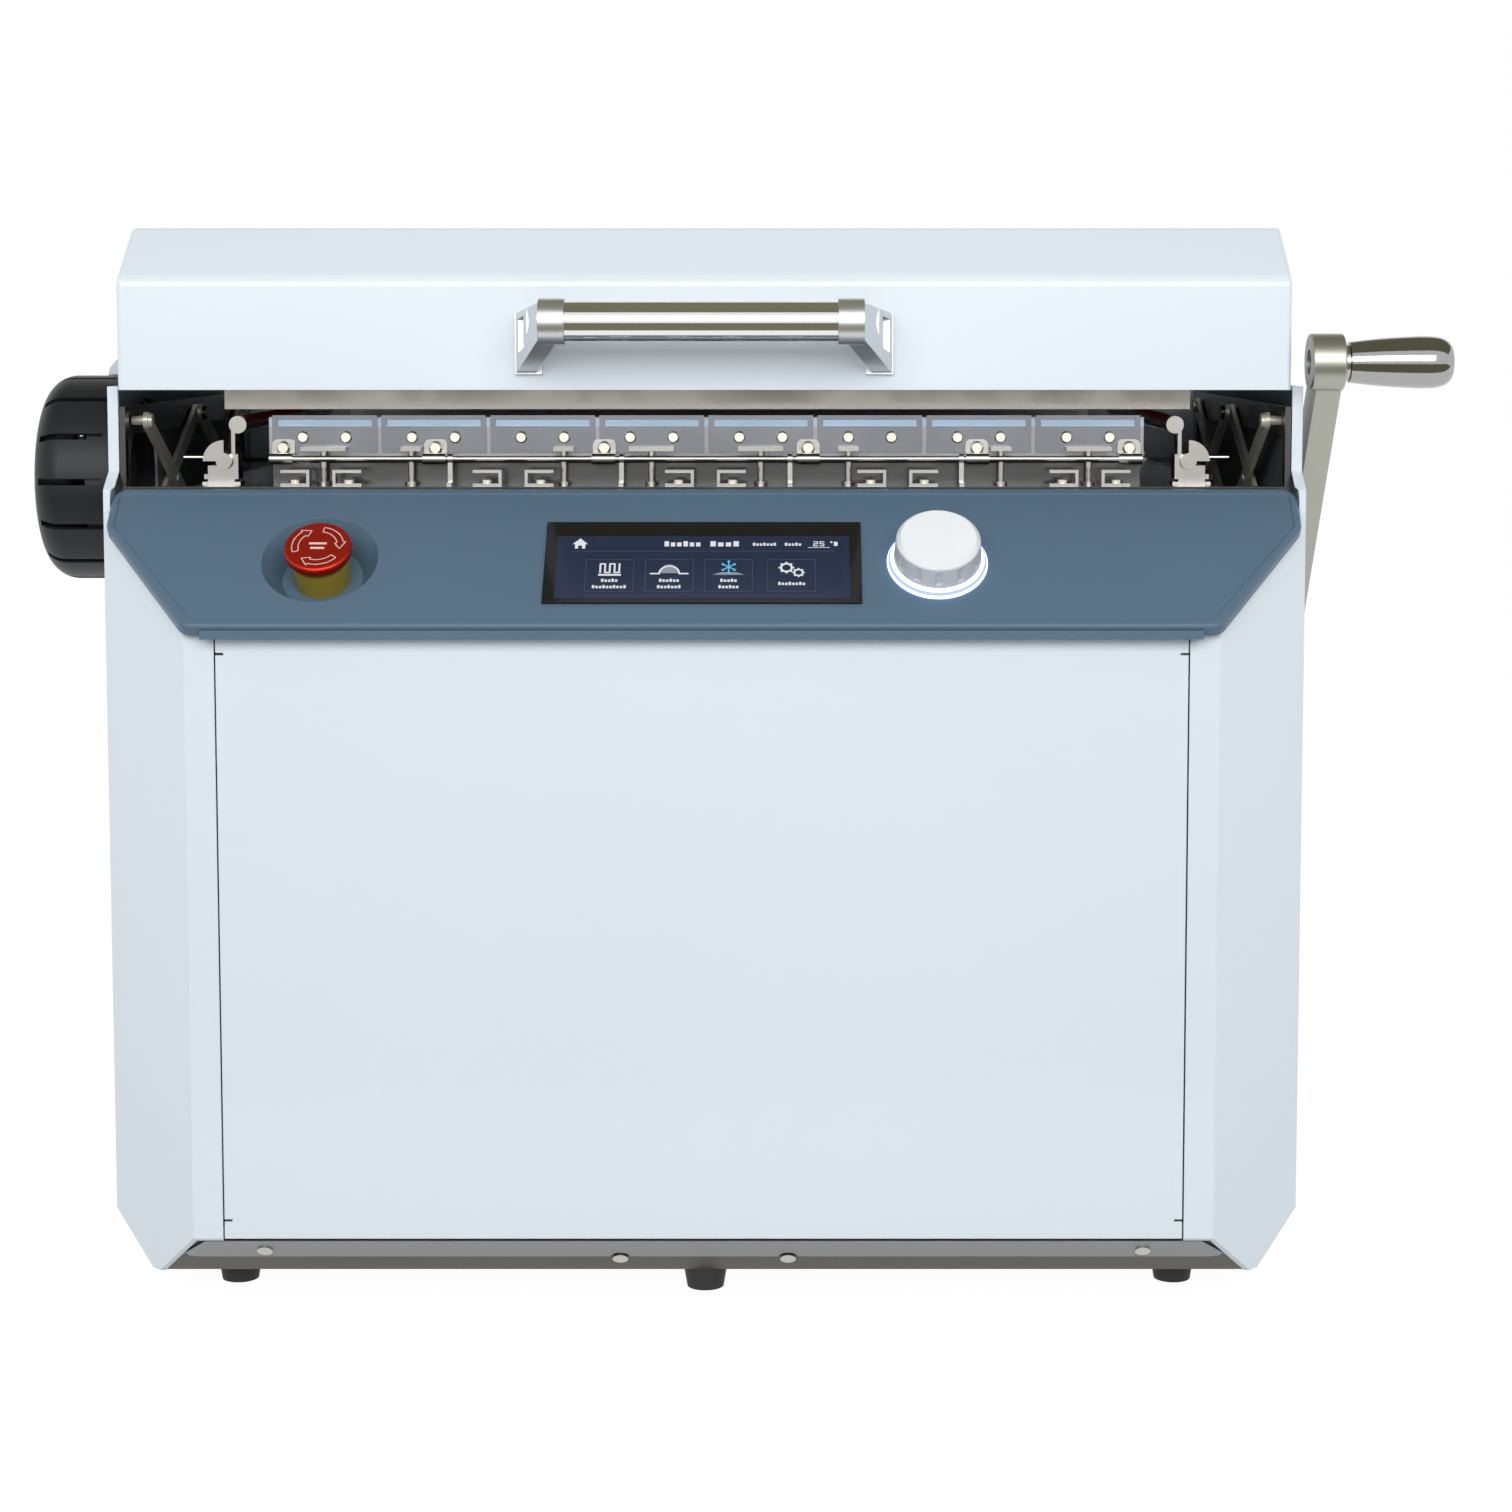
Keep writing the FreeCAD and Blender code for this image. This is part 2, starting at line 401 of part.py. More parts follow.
def console():
    def height(e):
        return (e.CenterOfMass - on_console(0, 0)).dot(N_DIR)
    face = soften(console_plate(0, -CONSOLE_DEEP, RIM_UP), RIM_SOFT, lambda e: height(e) > RIM_UP - 0.01)
    field = soften(console_plate(-RIM_WIDE, 0, 2 * RIM_UP), RIM_UP * 0.9, lambda e: height(e) < 0.01)
    face = face.cut([field, console_plate(-CONSOLE_WALL, -CONSOLE_DEEP - 5, -CONSOLE_THICK)])
    lip_half = CONSOLE_LIP_HALF - CONSOLE_ROUND
    lip = box(-lip_half, CONSOLE_LIP_Y, CONSOLE_LIP_Z - CONSOLE_DROP, lip_half,
              CONSOLE_LIP_Y + CONSOLE_WALL, CONSOLE_LIP_Z - 2 * RIM_UP)
    depth = STOP_RECESS_DEPTH
    bowl_r = STOP_RECESS_R - STOP_BOWL
    cup = console_rod(STOP_X, STOP_S, -depth - 2, 0, bowl_r + 2, STOP_RECESS_R + 2)
    dish = console_rod(STOP_X, STOP_S, -depth, 0.01, bowl_r, STOP_RECESS_R)
    face = fuse([face, lip, cup])
    barrel_r = STOP_COLLAR_R - 3.5
    face = face.cut([dish, console_rod(STOP_X, STOP_S, -STOP_BARREL_LOW, 1, barrel_r),
                     console_box(0, SCREEN_S, SCREEN_W - 10, SCREEN_H - 8, -10, 1),
                     console_rod(KNOB_X, KNOB_S, -10, 1, SHAFT_R + 1.5)])
    write("console_fascia", face)

    glass = console_box(0, SCREEN_S, SCREEN_W, SCREEN_H, 0, SCREEN_THICK)
    module = console_box(0, SCREEN_S, SCREEN_W - 12, SCREEN_H - 10, -16, 0)
    write("screen_glass", fuse([glass, module]))

    collar = fuse([console_rod(STOP_X, STOP_S, -depth, STOP_COLLAR_H - depth, STOP_COLLAR_R),
                   console_rod(STOP_X, STOP_S, -STOP_BARREL_LOW, -depth, barrel_r),
                   console_box(STOP_X, STOP_S, STOP_BLOCK_W, STOP_BLOCK_W, -STOP_BARREL_LOW - STOP_BLOCK_H,
                               -STOP_BARREL_LOW)])
    collar = collar.cut(console_rod(STOP_X, STOP_S, -STOP_STEM_LOW, depth, STOP_STEM_R + RUN))
    write("stop_collar", collar)
    under = STOP_COLLAR_H - depth + STOP_TRAVEL + GAP
    socket = under + STOP_SOCKET
    write("stop_plunger", console_rod(STOP_X, STOP_S, STOP_TRAVEL + 2 - STOP_STEM_LOW, socket - RUN,
                                      STOP_STEM_R))
    head = console_rod(STOP_X, STOP_S, under, under + STOP_HEAD_H, STOP_HEAD_R)
    head = soften(head, 1.6, lambda e: height(e) > under + STOP_HEAD_H - 0.01
                  and e.Curve.TypeId == "Part::GeomCircle")
    write("stop_button", head.cut(console_rod(STOP_X, STOP_S, under - 1, socket, STOP_STEM_R + RUN)))

    neck = SHAFT_R + RUN
    bushing = neck + 1.0
    ring = console_rod(KNOB_X, KNOB_S, 0, RING_H, RING_R, RING_R - 1.5).cut(
        console_rod(KNOB_X, KNOB_S, -1, RING_H + 1, bushing + RUN))
    write("knob_light_ring", ring)
    encoder = fuse([console_box(KNOB_X, KNOB_S, 16, 16, -CONSOLE_THICK - 14, -CONSOLE_THICK),
                    console_rod(KNOB_X, KNOB_S, -CONSOLE_THICK - 1, RING_H, bushing)])
    write("encoder_body", encoder.cut(console_rod(KNOB_X, KNOB_S, -CONSOLE_THICK - 12, 10, neck)))
    base = RING_H + KNOB_TRAVEL + GAP
    top = base + KNOB_H
    shaft_top = base + KNOB_H - 4
    write("encoder_shaft", console_rod(KNOB_X, KNOB_S, -CONSOLE_THICK - 12 + KNOB_TRAVEL + 0.4,
                                       shaft_top - RUN, SHAFT_R))
    skirt = console_rod(KNOB_X, KNOB_S, base, top, KNOB_R + 1.0, KNOB_R)
    grooves = []
    for i in range(KNOB_GROOVES):
        angle = 2 * math.pi * i / KNOB_GROOVES
        u, s = KNOB_X + (KNOB_R + 2.0) * math.cos(angle), KNOB_S + (KNOB_R + 2.0) * math.sin(angle)
        grooves.append(console_rod(u, s, base + 2, top - 1.5, 2.6))
    write("knob_skirt", skirt.cut(grooves + [console_rod(KNOB_X, KNOB_S, base - 1, shaft_top, neck)]))
    write("knob_cap", console_rod(KNOB_X, KNOB_S, top, top + 2.2, KNOB_R - 0.4, KNOB_R - 2.2))


FAN_BORE = FAN_R - 12.0


def fan():
    x0 = -HALF_WIDTH
    x1 = x0 - FAN_HOUSING_OUT
    shell = tube((x0, FAN_Y, FAN_Z), (x1, FAN_Y, FAN_Z), FAN_R - FAN_WALL - GAP, FAN_BORE)
    motor_x = x1 - 3.0
    motor = rod((x0 - 3, FAN_Y, FAN_Z), (motor_x, FAN_Y, FAN_Z), 13.0)
    arms = []
    for i in range(3):
        arm = box(x0 - 7, FAN_Y - 3, FAN_Z + 8, x0 - 3, FAN_Y + 3, FAN_Z + FAN_BORE + 2)
        arm.rotate(V(0, FAN_Y, FAN_Z), V(1, 0, 0), 120 * i)
        arms.append(arm)
    spindle = rod((motor_x, FAN_Y, FAN_Z), (motor_x - 12, FAN_Y, FAN_Z), 2.0)
    write("fan_housing", fuse([shell, motor, spindle] + arms))

    tip = -HALF_WIDTH - FAN_OUT

    def dome(radius, end):
        bulge = 15.0
        shoulder = end + bulge
        mid = (radius - bulge * 0.293, shoulder - bulge * 0.707)
        arc = Part.Arc(V(shoulder, FAN_Y, FAN_Z + radius), V(mid[1], FAN_Y, FAN_Z + mid[0]),
                       V(end, FAN_Y, FAN_Z + radius - bulge)).toShape()
        edges = [Part.makeLine(V(x0, FAN_Y, FAN_Z), V(x0, FAN_Y, FAN_Z + radius)),
                 Part.makeLine(V(x0, FAN_Y, FAN_Z + radius), V(shoulder, FAN_Y, FAN_Z + radius)), arc,
                 Part.makeLine(V(end, FAN_Y, FAN_Z + radius - bulge), V(end, FAN_Y, FAN_Z)),
                 Part.makeLine(V(end, FAN_Y, FAN_Z), V(x0, FAN_Y, FAN_Z))]
        return Part.Face(Part.Wire(edges)).revolve(V(0, FAN_Y, FAN_Z), V(1, 0, 0), 360)
    cover = dome(FAN_R, tip).cut(dome(FAN_R - FAN_WALL, tip + FAN_WALL))
    slots = []
    for i in range(FAN_SLATS):
        slot = box(tip + 4, FAN_Y - 1.7, FAN_Z + FAN_R - 14, x0 - 8, FAN_Y + 1.7, FAN_Z + FAN_R + 5)
        slot.rotate(V(0, FAN_Y, FAN_Z), V(1, 0, 0), 360.0 * (i + 0.5) / FAN_SLATS)
        slots.append(slot)
    write("fan_cover", cover.cut(slots))

    hub_start = motor_x - 1.0
    rotor = [rod((hub_start, FAN_Y, FAN_Z), (hub_start - 9, FAN_Y, FAN_Z), 14.0)]
    for i in range(5):
        blade = box(hub_start - 8, FAN_Y - 1, FAN_Z + 12, hub_start - 1, FAN_Y + 1, FAN_Z + FAN_BORE - 4)
        blade.rotate(V(hub_start - 4.5, FAN_Y, FAN_Z), V(0, 0, 1), 35)
        blade.rotate(V(0, FAN_Y, FAN_Z), V(1, 0, 0), 72 * i)
        rotor.append(blade)
    bore = rod((hub_start + 1, FAN_Y, FAN_Z), (hub_start - 12, FAN_Y, FAN_Z), 2.0 + RUN)
    write("fan_rotor", fuse(rotor).cut(bore))


def hood():
    def profile(inset, low):
        return [(HOOD_FRONT_Y + inset, low), (HOOD_FRONT_Y + inset, HOOD_BEND),
                (HOOD_FRONT_Y + HOOD_SLOPE + inset / 2, HOOD_TOP - inset),
                (HOOD_REAR_Y - inset, HOOD_TOP - inset),
                (HOOD_REAR_Y - inset, low)]
    outer = side_profile(profile(0, HOOD_LOW), -HOOD_HALF, HOOD_HALF)
    def is_bend(e):
        return e.Length > HOOD_HALF and abs(e.tangentAt(0).x) > 0.9 and e.CenterOfMass.z > HOOD_LOW + 5

    def is_end(e):
        return abs(e.CenterOfMass.x) > HOOD_HALF - 0.1 and e.CenterOfMass.z > HOOD_LOW + 5
    outer = soften(soften(outer, HOOD_ROUND, is_bend), HOOD_END_ROUND, is_end)
    inner = side_profile(profile(HOOD_SHEET, HOOD_LOW - 5), -HOOD_HALF + HOOD_SHEET, HOOD_HALF - HOOD_SHEET)
    inner = soften(inner, HOOD_ROUND - HOOD_SHEET, is_bend)
    write("hood_shell", outer.cut(inner))

    wall = TRAY_WALL
    tray = box(-TRAY_HALF, TRAY_FRONT, TRAY_LOW, TRAY_HALF, TRAY_REAR, TRAY_HIGH).cut(
        box(-TRAY_HALF + wall, TRAY_FRONT + wall, TRAY_LOW - 5, TRAY_HALF - wall, TRAY_REAR - wall,
            TRAY_HIGH - wall))
    hangers = both(box(HANGER_X, TRAY_FRONT + HANGER_SET, TRAY_HIGH, HANGER_X + HANGER_W,
                       TRAY_REAR - HANGER_SET,
                       HOOD_TOP - HOOD_SHEET))
    write("heater_tray", fuse([tray] + hangers))
    tubes = []
    spacing = (TRAY_REAR - TRAY_FRONT) / TUBE_COUNT
    inside = TRAY_HALF - wall
    for i in range(TUBE_COUNT):
        y = TRAY_FRONT + spacing * (i + 0.5)
        ends = both(rod((inside, y, TUBE_Z), (inside - TUBE_CAP, y, TUBE_Z), TUBE_CAP_R))
        tubes.append(fuse([rod((-inside + TUBE_CAP / 2, y, TUBE_Z), (inside - TUBE_CAP / 2, y, TUBE_Z),
                               TUBE_R)] + ends))
    write("heater_tubes", tubes)

    write("handle_tube", tube((-HANDLE_HALF, HANDLE_Y, HANDLE_Z), (HANDLE_HALF, HANDLE_Y, HANDLE_Z),
                              HANDLE_R, HANDLE_R - HANDLE_WALL))
    boss_r = HANDLE_R + 1.5
    near, far = HANDLE_HALF + HANDLE_BOSS, HANDLE_HALF + HANDLE_BOSS + BRACKET_OUT
    end = rod((HANDLE_HALF, HANDLE_Y, HANDLE_Z), (near, HANDLE_Y, HANDLE_Z), boss_r)
    nose = HANDLE_Y - boss_r * 0.6

    def on_cheek(t, z):
        return (near + (far - near) * t, nose + (HOOD_FRONT_Y - nose) * t, z)
    top, low = HANDLE_Z + boss_r * 0.8, HANDLE_Z - boss_r * 0.8
    cheek = prism([on_cheek(0, top), on_cheek(1, BRACKET_HIGH), on_cheek(1, BRACKET_LOW), on_cheek(0, low)],
                  (-BRACKET_WALL, 0, 0))
    shelf = [on_cheek(0, low), on_cheek(1, BRACKET_LOW)]
    shelf = prism(shelf + [(x - BRACKET_SHELF, y, z) for x, y, z in reversed(shelf)], (0, 0, BRACKET_WALL))
    foot = box(far - BRACKET_SHELF - 4, HOOD_FRONT_Y - 3, BRACKET_LOW, far, HOOD_FRONT_Y, BRACKET_HIGH)
    through = 3 * BRACKET_WALL
    window = prism([(x + BRACKET_WALL, y, z) for x, y, z in
                    (on_cheek(0.62, BRACKET_HIGH - 1), on_cheek(0.88, BRACKET_HIGH - 3),
                     on_cheek(0.88, BRACKET_LOW + 11),
                     on_cheek(0.62, BRACKET_LOW + 14))], (-through, 0, 0))
    arc = [on_cheek(0.5, HANDLE_Z + 7 - 14 * i / 8) for i in range(9)]
    arc = [(x + BRACKET_WALL - BRACKET_OUT * b, y - (HOOD_FRONT_Y - nose) * b, z) for (x, y, z), b in
           zip(arc, [0.12 * math.sin(math.pi * i / 8) for i in range(9)])]
    moon = prism(arc, (-through, 0, 0))
    write("handle_brackets", both(fuse([cheek, shelf, foot]).cut([window, moon]).fuse(end).removeSplitter()))

    third = HINGE_LENGTH / 3
    start = HINGE_X - HINGE_LENGTH / 2
    def barrel(x0, x1, bore):
        return tube((x0, HINGE_Y, HINGE_Z), (x1, HINGE_Y, HINGE_Z), HINGE_BARREL_R, bore)
    arms = []
    for x in (start, start + 2 * third):
        leaf = box(x, HOOD_REAR_Y, HINGE_Z - HINGE_BARREL_R, x + third, HINGE_Y, HINGE_Z + HINGE_LEAF)
        leaf = leaf.cut([box(x - 1, HOOD_REAR_Y + HINGE_LEAF_T, HINGE_Z + HINGE_BARREL_R,
                             x + third + 1, HINGE_Y + 1, HINGE_Z + HINGE_LEAF + 1),
                         rod((x - 1, HINGE_Y, HINGE_Z), (x + third + 1, HINGE_Y, HINGE_Z),
                             HINGE_BARREL_R - 0.5)])
        arms.append(fuse([leaf, barrel(x, x + third, HINGE_PIN_R + RUN)]))
    write("hood_hinge_arms", [a for arm in arms for a in both(arm)])
    mid0, mid1 = start + third + GAP, start + 2 * third - GAP
    block = fuse([rod((mid0, HINGE_Y, HINGE_Z), (mid1, HINGE_Y, HINGE_Z), HINGE_BARREL_R),
                  box(mid0, HINGE_Y + 1, HINGE_Z - HINGE_STRAP, mid1, REAR_Y - SHEET, HINGE_Z),
                  rod((start, HINGE_Y, HINGE_Z), (start + HINGE_LENGTH, HINGE_Y, HINGE_Z), HINGE_PIN_R)])
    write("cabinet_hinge_blocks", both(block))


LINK_RAD = math.radians(LINK_ANGLE)
LINK_LENGTH = PIVOT_PITCH / math.cos(LINK_RAD)
LINK_DROP = LINK_LENGTH * math.sin(LINK_RAD)
LINK_END_RAD = math.asin((LINK_DROP - CARRIAGE_TRAVEL) / LINK_LENGTH)
SLIDE = LINK_LENGTH * math.cos(LINK_END_RAD) - PIVOT_PITCH
BASE_Z = PIVOT_Z - LINK_DROP
PITCH_R = MODULE * TEETH / 2


def slotted_rail(z, low, high, y0, y1, thick):
    """A scissor rail: a fixed pin in its middle, a slot for a sliding pin at each end."""
    rail = box(RAIL_X, y0, low, RAIL_X + thick, y1, high)
    tools = []
    for sign in (-1, 1):
        ends = [PIVOT_Y + sign * (PIVOT_PITCH - 4), PIVOT_Y + sign * (PIVOT_PITCH + SLIDE + 2)]
        reach = PIN_R + OPEN_CLEAR
        tools.append(box(RAIL_X - 1, min(ends) - reach, z - reach, RAIL_X + thick + 1, max(ends) + reach,
                         z + reach))
    pin = fuse([rod((RAIL_X + 1, PIVOT_Y, z), (LAYER_X[1] - 1, PIVOT_Y, z), PIN_R),
                rod((LAYER_X[1] - GAP, PIVOT_Y, z), (LAYER_X[1] - GAP - 2, PIVOT_Y, z), PIN_R + 1.6)])
    return fuse([rail.cut(tools), pin])


def carriage():
    low = LOWER_TOP - LOWER_THICK
    ring = box(-CARRIAGE_X, CARRIAGE_FRONT, low, CARRIAGE_X, CARRIAGE_REAR, LOWER_TOP)
    rim = box(-WINDOW_X - RIM_W, -WINDOW_Y - RIM_W, LOWER_TOP, WINDOW_X + RIM_W, WINDOW_Y + RIM_W,
              SHEET_Z - SEAL_THICK)
    window = box(-WINDOW_X, -WINDOW_Y, low - 5, WINDOW_X, WINDOW_Y, SHEET_Z + 5)
    side = []
    rail_end = RAIL_X + RAIL_T
    for y in (CARRIAGE_FRONT, CARRIAGE_REAR - ARM_W):
        side.append(box(CARRIAGE_X, y, low, rail_end, y + ARM_W, LOWER_TOP))
        side.append(box(RAIL_X, y, low, rail_end, y + ARM_W, PIVOT_Z + 8))
    side.append(box(CARRIAGE_X, CRANK_Y + 5, low, PINION_X + PINION_W + 2, CRANK_Y + 30, LOWER_TOP))
    side.append(slotted_rail(PIVOT_Z, PIVOT_Z - 7, PIVOT_Z + 8, CARRIAGE_FRONT, CARRIAGE_REAR, RAIL_T))
    write("lower_clamp_frame", fuse([ring, rim] + [p for s in side for p in both(s)]).cut(window))

    seal_x, seal_y = WINDOW_X + RIM_W - SEAL_SET, WINDOW_Y + RIM_W - SEAL_SET

    def seal(z0, z1):
        return box(-seal_x, -seal_y, z0, seal_x, seal_y, z1).cut(
            box(-WINDOW_X, -WINDOW_Y, z0 - 1, WINDOW_X, WINDOW_Y, z1 + 1))
    write("sheet_gaskets", [seal(SHEET_Z - SEAL_THICK, SHEET_Z), seal(SHEET_Z, UPPER_LOW)])

    plate = box(-CLAMP_HALF, CLAMP_FRONT, UPPER_LOW, CLAMP_HALF, CLAMP_REAR, UPPER_LOW + UPPER_THICK).cut(
        box(-WINDOW_X, -WINDOW_Y, UPPER_LOW - 1, WINDOW_X, WINDOW_Y, UPPER_LOW + 5))
    uprights = [box(-CLAMP_HALF, y, PLATE_LOW, CLAMP_HALF, y + UPPER_THICK, PLATE_HIGH - 1)
                for y in (CLAMP_FRONT, CLAMP_REAR - UPPER_THICK)]
    write("upper_clamp_frame", fuse([plate] + uprights))

    centres = [(i - (GRIP_COUNT - 1) / 2) * GRIP_PITCH for i in range(GRIP_COUNT)]
    face = CLAMP_FRONT - PLATE_THICK

    def grip(x):
        plate = box(x - GRIP_W / 2, face, PLATE_LOW + 2, x + GRIP_W / 2, CLAMP_FRONT, PLATE_HIGH)
        slot = box(x - GRIP_SLOT_W / 2, face - 1, GRIP_SLOT_LOW, x + GRIP_SLOT_W / 2, CLAMP_FRONT + 1,
                   GRIP_SLOT_HIGH)
        return plate.cut(slot)
    write("gripper_plates", [grip(x) for x in centres])

    screws, tabs = [], []
    for i, x in enumerate(centres):
        for side in (-1, 1):
            at = (x + side * GRIP_SCREW_X, face, GRIP_SCREW_Z)
            screws.append(Part.makeCone(GRIP_SCREW_R, GRIP_SCREW_R - 0.8, 2.0, V(*at), V(0, -1, 0)))
        if i in LONG_TABS:
            middle, half = x, LONG_TAB
        else:
            middle, half = x + (GRIP_SCREW_X if i % 4 == 2 else -GRIP_SCREW_X), SHORT_TAB
        stem_y = face - TAB_STEM_SET
        tab = box(middle - half, face - TAB_DEEP, PLATE_LOW + 3, middle + half, face, PLATE_LOW + 5)
        stem = rod((middle, stem_y, LOWER_TOP), (middle, stem_y, PLATE_LOW + 3), TAB_STEM_R)
        foot = rod((middle, stem_y, LOWER_TOP), (middle, stem_y, LOWER_TOP + 2), 2 * TAB_STEM_R)
        tabs.append(fuse([tab, stem, foot]))
    write("clip_tabs", tabs)

    brackets = []
    front, thin = CARRIAGE_FRONT + 1, 1.6
    for i in range(RAIL_PAIRS):
        x = (i - (RAIL_PAIRS - 1) / 2) * RAIL_PAIR_PITCH
        top = LOWER_TOP + RAIL_HIGH
        channel = box(x + RAIL_NEAR, front, LOWER_TOP, x + RAIL_FAR, front + RAIL_DEEP, top)
        hollow = box(x + RAIL_NEAR + thin, front - 1, LOWER_TOP + thin, x + RAIL_FAR + 1,
                     front + RAIL_DEEP + 1, top - thin)
        screw_x, screw_y = x + (RAIL_NEAR + RAIL_FAR) / 2 + 0.5, front + RAIL_DEEP / 2
        screw = rod((screw_x, screw_y, LOWER_TOP + thin), (screw_x, screw_y, LOWER_TOP + thin + 1.8), 3.0)
        right = channel.cut(hollow)
        brackets += [right, right.mirror(V(x, 0, 0), V(1, 0, 0))]
        screws += [screw, screw.mirror(V(x, 0, 0), V(1, 0, 0))]

    rod_y = face - FRONT_ROD_SET

    def eye(x, width):
        return tube((x - width / 2, rod_y, FRONT_ROD_Z), (x + width / 2, rod_y, FRONT_ROD_Z), EYE_R,
                    FRONT_ROD_R)
    for x in [at * GRIP_PITCH for at in LUG_AT]:
        tongue = box(x - LUG_W / 2, face - thin, LUG_LOW, x + LUG_W / 2, face, LUG_HIGH)
        tongue = soften(tongue, LUG_W / 4, lambda e: abs(e.tangentAt(0).y) > 0.9
                        and e.CenterOfMass.z > LUG_HIGH - 1)
        web = box(x - LUG_W / 2, rod_y, FRONT_ROD_Z - EYE_R, x + LUG_W / 2, face, FRONT_ROD_Z - FRONT_ROD_R)
        brackets.append(fuse([tongue, web, eye(x, LUG_W)]))
        screws.append(Part.makeCone(LUG_SCREW_R, LUG_SCREW_R - 1, 2.2, V(x, face - thin, LUG_SCREW_Z),
                                    V(0, -1, 0)))
    for x in [at * GRIP_PITCH for at in HOOK_AT]:
        half = HOOK_W / 2
        leg = box(x - half, rod_y - EYE_R, LOWER_TOP, x + half, rod_y, FRONT_ROD_Z - FRONT_ROD_R - 0.4)
        toe = box(x - half, front + 1, LOWER_TOP, x + half, rod_y, LOWER_TOP + 2)
        brackets.append(fuse([eye(x, HOOK_W), leg, toe]))
    rod_half = LUG_AT[-1] * GRIP_PITCH + LUG_W / 2
    brackets.append(rod((-rod_half, rod_y, FRONT_ROD_Z), (rod_half, rod_y, FRONT_ROD_Z), FRONT_ROD_R))
    brackets.append(box(-rod_half, CLAMP_FRONT, LOWER_TOP, rod_half, CLAMP_FRONT + REST_RAIL_T, REST_RAIL_TOP))
    write("rail_brackets", brackets)
    write("clamp_screws", screws)

    def end_bracket(y, facing):
        yb = sorted((y, y + facing * END_DEEP))

        def layer(left, right, low, high):
            return box(END_X + left, yb[0], LOWER_TOP + low, END_X + right, yb[1], LOWER_TOP + high)
        post = box(SIDE_TUBE_X + 1.5, yb[0], CAM_Z, SIDE_TUBE_X + 3.5, yb[1], SIDE_TUBE_Z + 2)
        return [layer(-9, 11, 0, 1.5), layer(-6, 8, 1.5, 2.9), layer(-8, 10, 2.9, 5.5),
                layer(-8, 1, 5.5, END_HIGH),
                layer(1, 8, 5.5, END_STEP), post]
    bar = rod((SIDE_TUBE_X, CLAMP_FRONT, SIDE_TUBE_Z), (SIDE_TUBE_X, CLAMP_REAR, SIDE_TUBE_Z), SIDE_TUBE_R)
    cam_axis_z, cam_front = CAM_Z, CLAMP_FRONT
    pivot = rod((END_X - 1, cam_front + 2, cam_axis_z), (END_X - 1, cam_front - 4, cam_axis_z), 1.8)
    bracket = fuse(end_bracket(CLAMP_FRONT, 1) + end_bracket(CLAMP_REAR, -1) + [bar, pivot])
    write("end_brackets", both(bracket))
    cam = rod((END_X - 1, cam_front - 0.3, cam_axis_z), (END_X - 1, cam_front - 3.3, cam_axis_z), CAM_R)
    cam = cam.common(box(END_X - 1, cam_front - 5, cam_axis_z, END_X + 20, cam_front + 5, cam_axis_z + 20))
    hub = rod((END_X - 1, cam_front - 0.3, cam_axis_z), (END_X - 1, cam_front - 3.3, cam_axis_z), 4.2)
    stub = rod((END_X + 8, cam_front - 1.8, cam_axis_z + 2), (END_X + 20, cam_front - 1.8, cam_axis_z + 2), 1.4)
    hole = rod((END_X - 1, cam_front + 5, cam_axis_z), (END_X - 1, cam_front - 8, cam_axis_z), 1.8 + RUN)
    cam = fuse([cam, hub, stub]).cut(hole)
    write("clamp_cam_right", cam)
    write("clamp_cam_left", flip(cam))

    write_links()
    drive()


def link(y0, z0, y1, z1, layer):
    """One scissor link on the right side, from its pinned end to its sliding end."""
    x0 = LAYER_X[layer]
    x1 = x0 + LINK_T
    bar = Part.makeBox(LINK_T, LINK_LENGTH, LINK_W, V(x0, 0, -LINK_W / 2))
    bar = fuse([bar, rod((x0, 0, 0), (x1, 0, 0), LINK_W / 2),
                rod((x0, LINK_LENGTH, 0), (x1, LINK_LENGTH, 0), LINK_W / 2)])
    eye = rod((x0 - 1, 0, 0), (x1 + 1, 0, 0), PIN_R + PIN_CLEAR)
    slider = fuse([rod((x0, LINK_LENGTH, 0), (RAIL_X + RAIL_T - 0.6, LINK_LENGTH, 0), PIN_R),
                   rod((x0, LINK_LENGTH, 0), (x0 - 2, LINK_LENGTH, 0), PIN_R + 1.2)])
    middle = LINK_LENGTH / 2
    if layer == 0:
        pin = rod((x0, middle, 0), (LAYER_X[1] - 0.4, middle, 0), PIN_R)
        shape = fuse([bar.cut(eye), slider, pin])
    else:
        shape = fuse([bar.cut([eye, rod((x0 - 1, middle, 0), (x1 + 1, middle, 0), PIN_R + OPEN_CLEAR)]),
                      slider])
    angle = math.degrees(math.atan2(z1 - z0, y1 - y0))
    shape.rotate(V(0, 0, 0), V(1, 0, 0), angle)
    shape.translate(V(0, y0, z0))
    return shape


def write_links():
    """Two crossed pairs a side. The hanging link is pinned to the carriage, the standing one to the cabinet."""
    for end, sign, hanging_layer in (("front", -1, 0), ("rear", 1, 1)):
        far = PIVOT_Y + sign * PIVOT_PITCH
        hanging = link(PIVOT_Y, PIVOT_Z, far, BASE_Z, hanging_layer)
        standing = link(PIVOT_Y, BASE_Z, far, PIVOT_Z, 1 - hanging_layer)
        for name, shape in (("hanging", hanging), ("standing", standing)):
            write("link_%s_%s_right" % (end, name), shape)
            write("link_%s_%s_left" % (end, name), flip(shape))
    rail = slotted_rail(BASE_Z, BASE_Z - 8, BASE_Z + 8, CARRIAGE_FRONT + ARM_W + 1, CARRIAGE_REAR - ARM_W - 1,
                        INNER_FACE - RAIL_X)
    write("scissor_base_rails", both(rail))


def involute(radius):
    base = PITCH_R * math.cos(math.radians(20))
    tilt = math.acos(min(1.0, base / radius))
    return math.tan(tilt) - tilt


